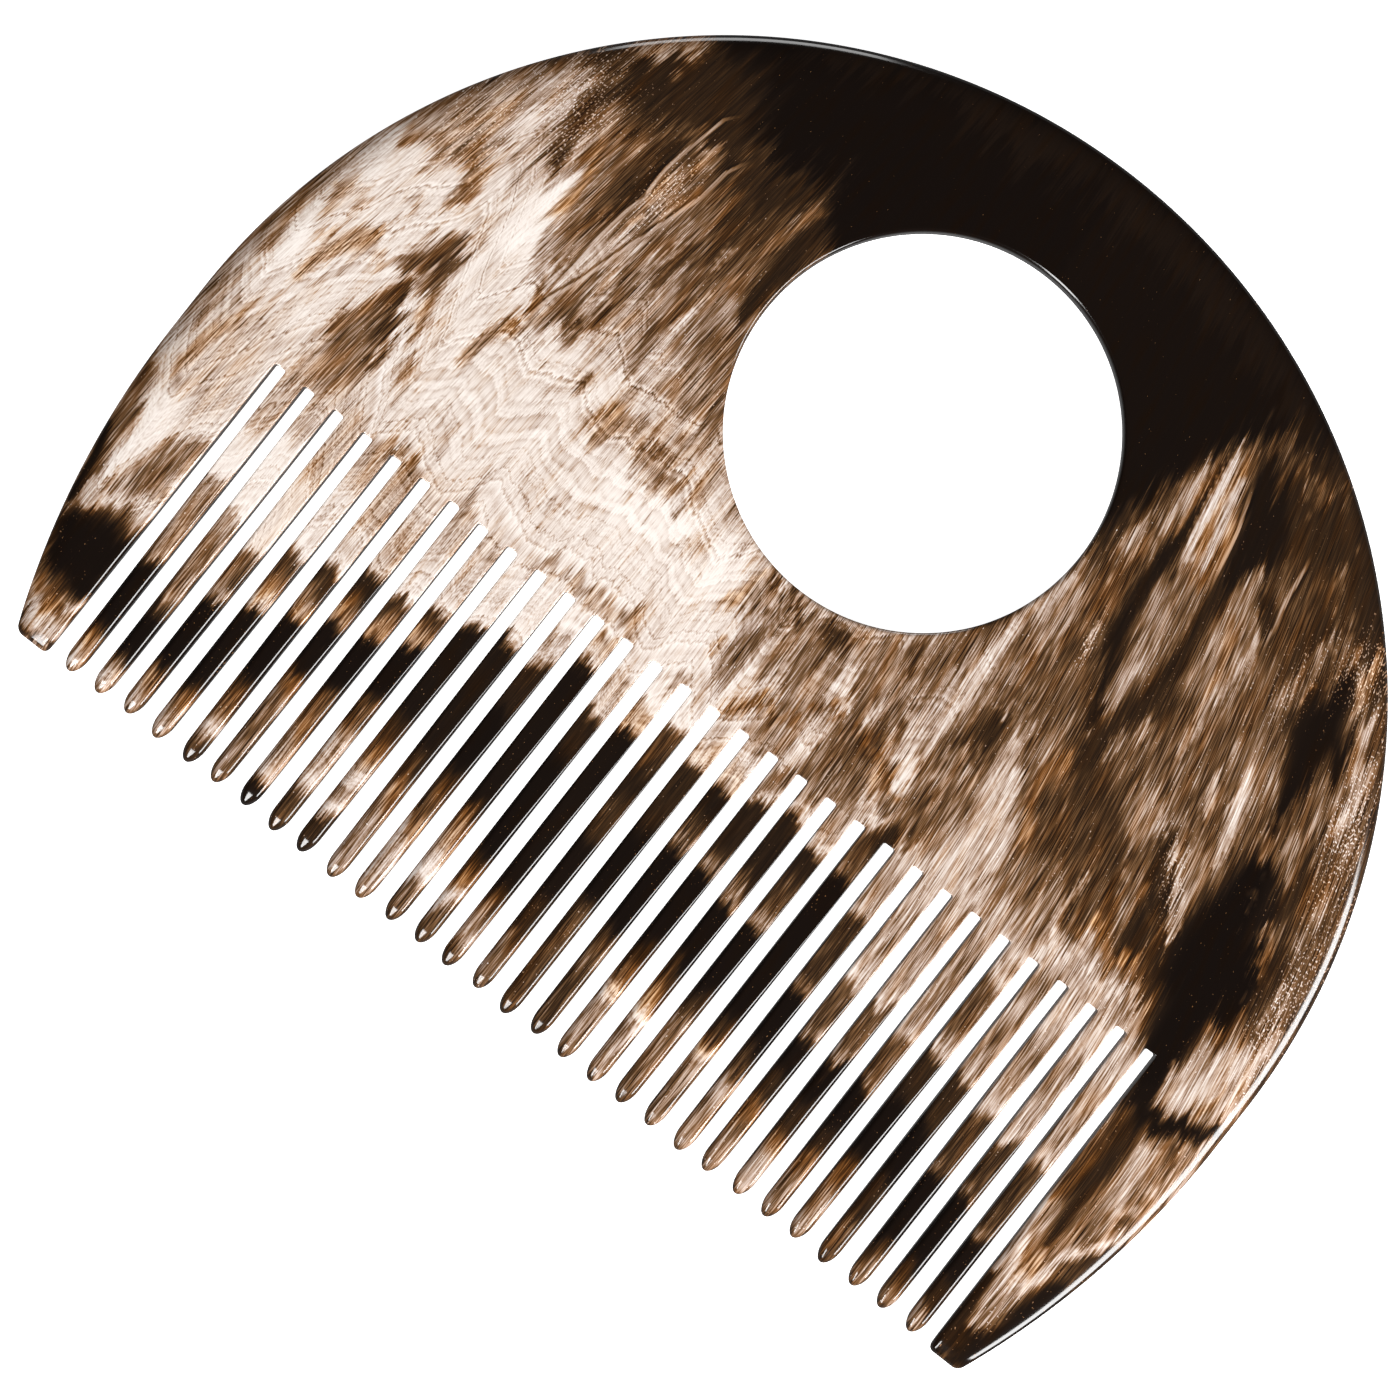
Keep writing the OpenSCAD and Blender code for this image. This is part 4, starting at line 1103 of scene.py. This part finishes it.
def line_y(x, line):
    """The y at each x of a line that is given as x and y by turns."""
    return np.interp(x, line[0::2], line[1::2])


def line_x(y, line):
    """The x at each y of a line that is given as x and y by turns."""
    return np.interp(y, line[1::2], line[0::2])


def spread(y):
    """How much wider apart the fibres lie at the teeth than at y, as they run together towards the crown."""
    return 1 + GRAIN_CLOSE * np.clip((y - GRAIN_LOW) / GRAIN_RUN, 0, 2) ** 2


def paint_stroke(looks, x, y, look, line):
    """Paints one tapering stroke over the tones and hues."""
    px, py, half = (np.array(line[i::3]) for i in range(3))
    wide = half.max() * (1 + STROKE_SOFT)
    near = (x > px.min() - wide) & (x < px.max() + wide) & (y > py.min() - wide) & (y < py.max() + wide)
    near = np.nonzero(near)[0]
    u = x[near]
    v = y[near]
    gap = np.full(len(near), np.inf)
    for i in range(max(len(px) - 1, 1)):
        j = min(i + 1, len(px) - 1)
        dx = px[j] - px[i]
        dy = py[j] - py[i]
        run = np.clip(((u - px[i]) * dx + (v - py[i]) * dy) / max(dx * dx + dy * dy, ONE_POINT), 0, 1)
        off = np.hypot(u - px[i] - run * dx, v - py[i] - run * dy)
        gap = np.minimum(gap, off / mix(half[i], half[j], run))
    cover = smooth((1 + STROKE_SOFT - gap) / (2 * STROKE_SOFT))
    looks[:, near] = mix(looks[:, near], np.array(look)[:, None], cover)


def paint_teeth(looks, x, y):
    """Paints the bands of each thin tooth: jagged and pale-fringed where light turns dark, soft elsewhere."""
    tooth = np.round(x / (PITCH * MM) + (TOOTH_COUNT - 1) / 2).astype(int)
    for i, bands in enumerate(TEETH):
        own = np.nonzero((tooth == i) & (y < BANDS_TOP))[0]
        look = looks[:, own]
        before = BANDS_TONE
        for top, tone, hue in zip(bands[0::3], bands[1::3], bands[2::3]):
            depth = top - y[own]
            border = SOFT_BORDER
            if before - tone > CRISP_DROP:
                border = CRISP_BORDER
                fringe = smooth(FRINGE_CORE - np.abs(depth + FRINGE_H) / FRINGE_H)
                look[0] = mix(look[0], min(before + FRINGE_RISE, FRINGE_PALEST), FRINGE_SHARE * fringe)
            look = mix(look, np.array((tone, hue))[:, None], smooth(depth / border + 0.5))
            before = tone
        looks[:, own] = look


def horn_look(x, y):
    """The tone and the hue of the horn at each place."""
    x = x + drift(x, y, DRIFT_ACROSS)
    y = y + drift(x, y, DRIFT_ALONG)
    tone = mix(LEFT_TONE, RIGHT_TONE, between(x, *RIGHT_FROM))
    tone = mix(tone, RIGHT_TEETH_TONE, between(y, *RIGHT_TEETH_BELOW) * between(x, *RIGHT_TEETH_FROM))
    for value, soft, *line in FRONTS:
        tone = mix(tone, value, smooth((y - line_y(x, line)) / soft + 0.5) * (x < FRONT_END))
    inside = line_x(y, CROWN_BORDER) - x
    crowned = mix(tone, CROWN_TONE, smooth(inside / CROWN_SOFT + 0.5))
    tone = np.where((x > 0) & (y > CROWN_BORDER[1]), crowned, tone)
    looks = np.stack((tone, np.zeros_like(tone)))
    paint_teeth(looks, x, y)
    for row in UPPER_LEFT + LOWER_LEFT + MIDDLE + UPPER_RIGHT + LOWER_RIGHT + GUARDS:
        paint_stroke(looks, x, y, row[:2], row[2:])
    return looks


def spark_share(x, y):
    """1 where bright sparks crowd together, 0 where they are few and -2 where there are none."""
    share = np.zeros_like(x)
    for *place, strength in SPARKS:
        share = mix(share, strength, oval(x, y, *place))
    return share


def ridge(x, y, left, right):
    """(millimetres across to a ridge, 1 along it and 0 past its ends), from one line on each half."""
    across = [x - line_x(y, line) for line in (left, right)]
    fades = [
        smooth((y - line[1]) / RIDGE_FADE) * smooth((line[-1] - y) / RIDGE_FADE)
        for line in (left, right)
    ]
    return np.where(x < 0, across[0], -across[1]), np.where(x < 0, *fades)


def painted_edge_shading(y, z):
    """Painted shade: how light the horn is drawn, full on both faces and darker over the edges."""
    run = np.clip((THIN_Y * MM - y) / (THIN_LEN * MM), 0, 1)
    half_t = mix(PLATE_T, TIP_T, run) * MM / 2
    off_face = 1 - np.abs(z - MID_Z * MM) / half_t
    return mix(1, PAINTED_SHADE_LEVEL, smooth(off_face / PAINTED_SHADE_TURN))


def chart_figure(mesh):
    """Stores the figure on the vertices, so that the material can draw it."""
    count = len(mesh.vertices)
    places = np.empty(count * 3)
    mesh.vertices.foreach_get("co", places)
    x, y, z = places.reshape(count, 3).T * MM
    # Painted shade over the edges, which darkens every charted tone below
    light = painted_edge_shading(y, z)
    y = y + (z - PLATE_T * MM) * SINK
    fibre_x = (x - GRAIN_X) * spread(y)
    looks = []
    for way in (-FAR, -NEAR, 0, NEAR, FAR):
        looks.append(horn_look(fibre_x / spread(y + way) + GRAIN_X, y + way))
    tones = [look[0] * light for look in looks]
    growth = y - line_y(x, GROWTH_LINE) + drift(x, y, GROWTH_SWELL)
    shown = mix(1.0, GROWTH_RIGHT, between(x, *GROWTH_FADE))
    outer, outer_fade = ridge(x, y, RIDGES[0], RIDGES[3])
    inner, inner_fade = ridge(x, y, RIDGES[1], RIDGES[2])
    store(mesh, "tones_below", tones[:3])
    store(mesh, "tones_above", (tones[3], tones[4], shown))
    store(mesh, "hues", (looks[1][1], looks[2][1], looks[3][1]))
    store(mesh, "grain", (fibre_x, y, z))
    store(mesh, "growth", (growth, outer, inner))
    store(mesh, "marks", (spark_share(x, y), outer_fade, inner_fade))


def store(mesh, name, columns):
    made = mesh.attributes.new(name, "FLOAT_VECTOR", "POINT")
    made.data.foreach_set("vector", np.stack(columns, axis=1).ravel())


# Horn material. Widths and lengths are in mm, pairs are where something begins and where it is full,
# or a factor and what is added, and the rest are strengths.

# Streaks as (name, width, length, detail), from the finest hair to broad clouds, and how they are set apart
STREAKS = (
    ("hair", 0.12, 3.2, 1.0),
    ("fine", 0.24, 5.5, 1.0),
    ("cloud", 0.55, 8.0, 1.0),
    ("broad", 2.0, 8.0, 0.0),
    ("ragged", 0.18, 3.0, 1.0),
    ("tongue", 0.9, 6.0, 0.0),
    ("warmth", 0.9, 4.5, 0.0),
    ("spark", 0.13, 0.24, 0.0),
)
STREAKS_START = 7.0
STREAKS_APART = 50.0
# How much a streak changes per mm of depth
STREAK_DEPTH = 0.6
# Stretches noise of 0 to 1 to about -1 to 1
NOISE_STRETCH = (4.0, -2.0)
# How far the borders of the figure fray along the grain, and the share of that which is left on the teeth
FRAYING = (("tongue", 1.4), ("ragged", 1.3))
TEETH_FRAYING = 0.4
TEETH_TO_PLATE = (-16.0, -10.0)
# Growth lines: jags, rings as (spacing, shift), dark fronts by half their spacing, and how each one stains
JAGS = (("ragged", 0.3), ("hair", 0.12))
NARROW_RINGS = (0.42, 3.0)
WIDE_RINGS = (1.15, 90.0)
FRONT_LINE_HALF = 0.62
FRONT_LINE_W = (0.2, 0.02)
FRONT_LINE_UNEVEN = (0.5, 0.6)
NARROW_STAIN = 0.45
WIDE_STAIN = 0.25
FRONT_LINE_STAIN = -0.9
RINGS_FROM = (0.35, 0.8)
# Stains of hair and clouds, and the tones between which they grow
STAINS = (("hair", 1.2), ("fine", 0.5), ("cloud", 0.3), ("broad", 0.2))
BLACK_CALM = (0.0, 0.38)
CREAM_CALM = (1.3, 0.6)
# Sparks
SPARKLE = (("spark", 1.0), ("cloud", 0.3))
SPARK_CROWD = 0.8
SPARK_FROM = (1.15, 1.5)
SPARK_BELOW = (0.85, 0.5)
SPARK_LIGHT = 0.4
# Ridges: a pale crest, and a painted shadow on one side of it
RIDGE_BEND = 0.05
CREST_HALF = (0.25, 0.1)
CREST_UNEVEN = (0.15, 0.65)
SHADE_OUTSIDE = (-0.55, -0.3)
SHADE_INSIDE = (-0.1, -0.2)
SHADE_DEPTH = 0.4
# Uneven warmth of all but the palest horn
WARMTH = 0.45
WARM_BELOW = (0.95, 0.45)
POLISH = 0.12
HORN_IOR = 1.54


def attribute(tree, name):
    """The three values that chart_figure() stored under a name."""
    node = add(tree, "ShaderNodeAttribute", attribute_type="GEOMETRY", attribute_name=name)
    return add(tree, "ShaderNodeSeparateXYZ", {0: node.outputs["Vector"]}).outputs


def group(name, inputs, outputs):
    """An empty shader node group with named number sockets."""
    tree = bpy.data.node_groups.new(name, "ShaderNodeTree")
    for socket in inputs:
        tree.interface.new_socket(socket, in_out="INPUT", socket_type="NodeSocketFloat")
    for socket in outputs:
        tree.interface.new_socket(socket, in_out="OUTPUT", socket_type="NodeSocketFloat")
    return tree, tree.nodes.new("NodeGroupInput").outputs, tree.nodes.new("NodeGroupOutput").inputs


def fibre_group():
    """Streaks along the grain, about -1 to 1. Width and length are in millimetres."""
    inputs = ("Across", "Along", "Depth", "Width", "Length", "Detail", "Shift")
    tree, given, put = group("fibre", inputs, ("Streak",))
    across = calc(tree, "ADD", calc(tree, "DIVIDE", given["Across"], given["Width"]), given["Shift"])
    along = calc(tree, "DIVIDE", given["Along"], given["Length"])
    through = calc(tree, "MULTIPLY", given["Depth"], STREAK_DEPTH)
    place = add(tree, "ShaderNodeCombineXYZ", {0: across, 1: along, 2: through})
    noise = add(tree, "ShaderNodeTexNoise", {"Vector": place, "Scale": 1.0, "Detail": given["Detail"]})
    tree.links.new(calc(tree, "MULTIPLY_ADD", noise.outputs[0], *NOISE_STRETCH), put["Streak"])
    return tree


def feather_group():
    """The tone some way along the grain, from the tones charted at five places along it."""
    inputs = ("Far Below", "Below", "Here", "Above", "Far Above", "Shift")
    tree, given, put = group("feather", inputs, ("Tone",))
    tone = given["Here"]
    for sign, side in ((-1.0, "Below"), (1.0, "Above")):
        near = given[side]
        far = given["Far " + side]
        way = calc(tree, "MULTIPLY", given["Shift"], sign)
        first = calc(tree, "DIVIDE", way, NEAR, clamp=True)
        second = calc(tree, "DIVIDE", calc(tree, "SUBTRACT", way, NEAR), FAR - NEAR, clamp=True)
        tone = calc(tree, "MULTIPLY_ADD", calc(tree, "SUBTRACT", near, given["Here"]), first, tone)
        tone = calc(tree, "MULTIPLY_ADD", calc(tree, "SUBTRACT", far, near), second, tone)
    tree.links.new(tone, put["Tone"])
    return tree


def rings_group():
    """Growth lines: light and dark bands of uneven width, about -1 to 1."""
    tree, given, put = group("rings", ("Growth", "Spacing", "Shift"), ("Ring",))
    place = calc(tree, "ADD", calc(tree, "DIVIDE", given["Growth"], given["Spacing"]), given["Shift"])
    noise = add(tree, "ShaderNodeTexNoise", {"W": place, "Scale": 1.0, "Detail": 1.0}, noise_dimensions="1D")
    tree.links.new(calc(tree, "MULTIPLY_ADD", noise.outputs[0], *NOISE_STRETCH), put["Ring"])
    return tree


def squash_group():
    """Adds a stain to a tone so that it never leaves 0 to 1, and shows most where the tone is middling."""
    tree, given, put = group("squash", ("Tone", "Stain"), ("Tone",))
    fade = calc(tree, "EXPONENT", calc(tree, "MULTIPLY", given["Stain"], -1.0))
    dark = calc(tree, "MULTIPLY", calc(tree, "SUBTRACT", 1.0, given["Tone"]), fade)
    tree.links.new(calc(tree, "DIVIDE", given["Tone"], calc(tree, "ADD", given["Tone"], dark)), put["Tone"])
    return tree


def use(tree, node_tree, **inputs):
    """A node group placed with its inputs named, spaces written as underscores."""
    named = {name.replace("_", " "): value for name, value in inputs.items()}
    return add(tree, "ShaderNodeGroup", named, node_tree=node_tree).outputs[0]


def total(tree, *pairs):
    """The sum of several (value, strength) pairs."""
    value = 0.0
    for part, strength in pairs:
        value = calc(tree, "MULTIPLY_ADD", part, strength, value)
    return value


def step(tree, value, start, end):
    """0 at the start and 1 at the end, with soft corners."""
    ramp = {0: value, 1: start, 2: end}
    return add(tree, "ShaderNodeMapRange", ramp, interpolation_type="SMOOTHSTEP").outputs[0]


def fibres(tree, grain):
    """The output of each kind of streak, by its name."""
    fibre = fibre_group()
    place = {"Across": grain[0], "Along": grain[1], "Depth": grain[2]}
    made = {}
    for i, (name, width, length, detail) in enumerate(STREAKS):
        shift = STREAKS_APART * i + STREAKS_START
        made[name] = use(tree, fibre, Width=width, Length=length, Detail=detail, Shift=shift, **place)
    return made


def parts(streak, recipe):
    """(streak, strength) pairs from a recipe of names and strengths."""
    return [(streak[name], strength) for name, strength in recipe]


def frayed_look(tree, streak, grain):
    """The charted tone and hue, drawn out along the grain into tongues and ragged ends."""
    below = attribute(tree, "tones_below")
    above = attribute(tree, "tones_above")
    hues = attribute(tree, "hues")
    on_plate = step(tree, grain[1], *TEETH_TO_PLATE)
    left = calc(tree, "MULTIPLY_ADD", on_plate, 1 - TEETH_FRAYING, TEETH_FRAYING)
    shift = calc(tree, "MULTIPLY", total(tree, *parts(streak, FRAYING)), left)
    feather = feather_group()
    looks = []
    for chart in (
        (below[0], below[1], below[2], above[0], above[1]),
        (hues[0], hues[0], hues[1], hues[2], hues[2]),
    ):
        charted = dict(zip(("Far_Below", "Below", "Here", "Above", "Far_Above"), chart))
        looks.append(use(tree, feather, Shift=shift, **charted))
    return looks


def growth_lines(tree, streak, growth, tone, shown):
    """Jagged growth lines where the horn is pale: narrow and wide rings, and thin dark fronts over them."""
    rings = rings_group()
    jagged = total(tree, (growth, 1.0), *parts(streak, JAGS))
    narrow, wide = [
        use(tree, rings, Growth=jagged, Spacing=spacing, Shift=shift)
        for spacing, shift in (NARROW_RINGS, WIDE_RINGS)
    ]
    front = step(tree, calc(tree, "PINGPONG", jagged, FRONT_LINE_HALF), *FRONT_LINE_W)
    front = calc(tree, "MULTIPLY", front, calc(tree, "MULTIPLY_ADD", wide, *FRONT_LINE_UNEVEN))
    lines = total(tree, (narrow, NARROW_STAIN), (wide, WIDE_STAIN), (front, FRONT_LINE_STAIN))
    return calc(tree, "MULTIPLY", lines, calc(tree, "MULTIPLY", step(tree, tone, *RINGS_FROM), shown))


def stained(tree, streak, tone, lines):
    """The tone with its hair and growth lines. Black and cream horn is calmer than brown."""
    stain = total(tree, *parts(streak, STAINS))
    calm = calc(tree, "MULTIPLY", step(tree, tone, *BLACK_CALM), step(tree, tone, *CREAM_CALM))
    stain = calc(tree, "ADD", calc(tree, "MULTIPLY", stain, calm), lines)
    return use(tree, squash_group(), Tone=tone, Stain=stain)


def sparkling(tree, streak, crowd, tone):
    """The tone with bright sparks on the darker horn, most where they crowd together."""
    spark = step(tree, total(tree, *parts(streak, SPARKLE), (crowd, SPARK_CROWD)), *SPARK_FROM)
    spark = calc(tree, "MULTIPLY", spark, step(tree, tone, *SPARK_BELOW))
    return calc(tree, "MULTIPLY_ADD", spark, SPARK_LIGHT, tone, clamp=True)


def ridged(tree, fine, distance, along, tone):
    """The tone with a pale line at distance 0 and a painted shadow on one side of it."""
    bent = calc(tree, "MULTIPLY_ADD", fine, RIDGE_BEND, distance)
    shade = calc(tree, "MULTIPLY", step(tree, bent, *SHADE_OUTSIDE), step(tree, bent, *SHADE_INSIDE))
    shade = calc(tree, "MULTIPLY", shade, along)
    crest = calc(tree, "MULTIPLY", step(tree, calc(tree, "ABSOLUTE", bent), *CREST_HALF), along)
    crest = calc(tree, "MULTIPLY", crest, calc(tree, "MULTIPLY_ADD", fine, *CREST_UNEVEN))
    tone = calc(tree, "MULTIPLY", tone, calc(tree, "MULTIPLY_ADD", shade, -SHADE_DEPTH, 1.0))
    return calc(tree, "MULTIPLY_ADD", crest, calc(tree, "SUBTRACT", RIDGE_TONE, tone), tone)


def tinted_horn(tree, warmth, tone, hue):
    """The colour of the tone, tinted amber or grey."""
    uneven = calc(tree, "MULTIPLY", warmth, step(tree, tone, *WARM_BELOW))
    warm = calc(tree, "MULTIPLY_ADD", uneven, WARMTH, hue)
    colour = horn_colour(tree, tone)
    colour = tinted(tree, colour, AMBER_TINT, calc(tree, "MULTIPLY", warm, 1.0, clamp=True))
    return tinted(tree, colour, GREY_TINT, calc(tree, "MULTIPLY", warm, -1.0, clamp=True))


def horn_colour(tree, tone):
    """The colour of each tone, from the black crown to cream."""
    ramp = add(tree, "ShaderNodeValToRGB", {0: tone})
    stops = ramp.color_ramp.elements
    stops[1].position = 1.0
    for at, display in HORN_COLOURS:
        stop = stops.new(at) if 0 < at < 1 else stops[0 if at == 0 else -1]
        stop.color = [linear(part) for part in display] + [1]
    return ramp.outputs[0]


def tinted(tree, colour, tint, share):
    mixed = add(tree, "ShaderNodeMix", {0: share, 6: colour}, data_type="RGBA", blend_type="MULTIPLY")
    mixed.inputs[7].default_value = (*tint, 1)
    return mixed.outputs[2]


def linear(part):
    """A display value from 0 to 1 as light."""
    return part / 12.92 if part <= 0.04045 else ((part + 0.055) / 1.055) ** 2.4


def horn_material():
    """Polished horn: the charted figure, frayed along the grain, with growth lines, hair and sparks."""
    horn = bpy.data.materials.new("horn")
    horn.use_nodes = True
    tree = horn.node_tree
    grain = attribute(tree, "grain")
    growth = attribute(tree, "growth")
    marks = attribute(tree, "marks")
    shown = attribute(tree, "tones_above")[2]
    streak = fibres(tree, grain)
    tone, hue = frayed_look(tree, streak, grain)
    lines = growth_lines(tree, streak, growth[0], tone, shown)
    tone = stained(tree, streak, tone, lines)
    tone = sparkling(tree, streak, marks[0], tone)
    for i in (1, 2):
        tone = ridged(tree, streak["fine"], growth[i], marks[i], tone)
    shader = tree.nodes["Principled BSDF"]
    tree.links.new(tinted_horn(tree, streak["warmth"], tone, hue), shader.inputs["Base Color"])
    shader.inputs["Roughness"].default_value = POLISH
    shader.inputs["IOR"].default_value = HORN_IOR
    return horn


def build_comb(horn):
    """The whole comb as one closed mesh in place of the CAD solid."""
    teeth = plain_mesh_of(tooth_row_tree(), build_tooth(), {
        "Count": TOOTH_COUNT,
        "Pitch": PITCH,
        "Root": ROOT_Y - STRAY_START,
        "Tip": TIP_Y,
        "Stray": STRAY,
        "Shortfall": SHORTFALL,
        "Seed": STRAY_SEED,
        "Horn": horn,
    })
    bm = bmesh.new()
    bm.from_mesh(teeth)
    add_guard(bm, -1)
    add_guard(bm, 1)
    add_round_back(bm)
    mesh = finish_mesh(bm, "horn_comb")
    chart_figure(mesh)
    mesh.materials.clear()
    mesh.materials.append(horn)
    comb = add_object("horn_comb", mesh)
    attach(comb, "root")
    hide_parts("comb")


def make_camera():
    camera = add_object("camera", bpy.data.cameras.new("camera"))
    camera.location = VIEW_CENTRE + Vector((0, 0, VIEW_HEIGHT))
    camera.rotation_euler = (0, 0, VIEW_TURN)
    camera.data.sensor_width = SENSOR
    camera.data.lens = SENSOR * VIEW_HEIGHT / VIEW_WIDTH
    camera.data.clip_start = CLIP_START
    bpy.context.scene.camera = camera


def make_floor():
    """Paper just under the comb: white to the camera as in the photo, and dim in what the polish mirrors."""
    mesh = bpy.data.meshes.new("floor")
    ways = ((-1, -1), (1, -1), (1, 1), (-1, 1))
    corners = [(x * FLOOR_HALF, y * FLOOR_HALF, -FLOOR_GAP) for x, y in ways]
    mesh.from_pydata(corners, [], [(0, 1, 2, 3)])
    floor = add_object("floor", mesh)
    paper = bpy.data.materials.new("paper")
    paper.use_nodes = True
    shader = paper.node_tree.nodes["Principled BSDF"]
    shader.inputs["Roughness"].default_value = 1.0
    shader.inputs["Specular IOR Level"].default_value = 0.0
    shader.inputs["Emission Strength"].default_value = 1.0
    seen = add(paper.node_tree, "ShaderNodeLightPath").outputs["Is Camera Ray"]
    white = calc(paper.node_tree, "MULTIPLY_ADD", seen, 1 - FLOOR_GLOW, FLOOR_GLOW)
    for socket in ("Base Color", "Emission Color"):
        paper.node_tree.links.new(white, shader.inputs[socket])
    mesh.materials.append(paper)


def add_softbox(name, turn, lean, away, width, length, power):
    """A rectangular lamp that faces the comb, from one row of SOFTBOXES."""
    lamp = bpy.data.lights.new(name, "AREA")
    lamp.shape = "RECTANGLE"
    lamp.size = width
    lamp.size_y = length
    lamp.energy = power
    box = add_object(name, lamp)
    turn = radians(turn)
    lean = radians(lean)
    box.rotation_euler = (0, lean, turn)
    box.location = away * Vector((sin(lean) * cos(turn), sin(lean) * sin(turn), cos(lean)))


def light_studio():
    for softbox in SOFTBOXES:
        add_softbox(*softbox)
    world = bpy.data.worlds.new("studio")
    world.use_nodes = True
    grey = (STUDIO_GREY, STUDIO_GREY, STUDIO_GREY, 1)
    world.node_tree.nodes["Background"].inputs["Color"].default_value = grey
    bpy.context.scene.world = world
    bpy.context.scene.view_settings.view_transform = "Standard"


make_camera()
build_comb(horn_material())
make_floor()
light_studio()
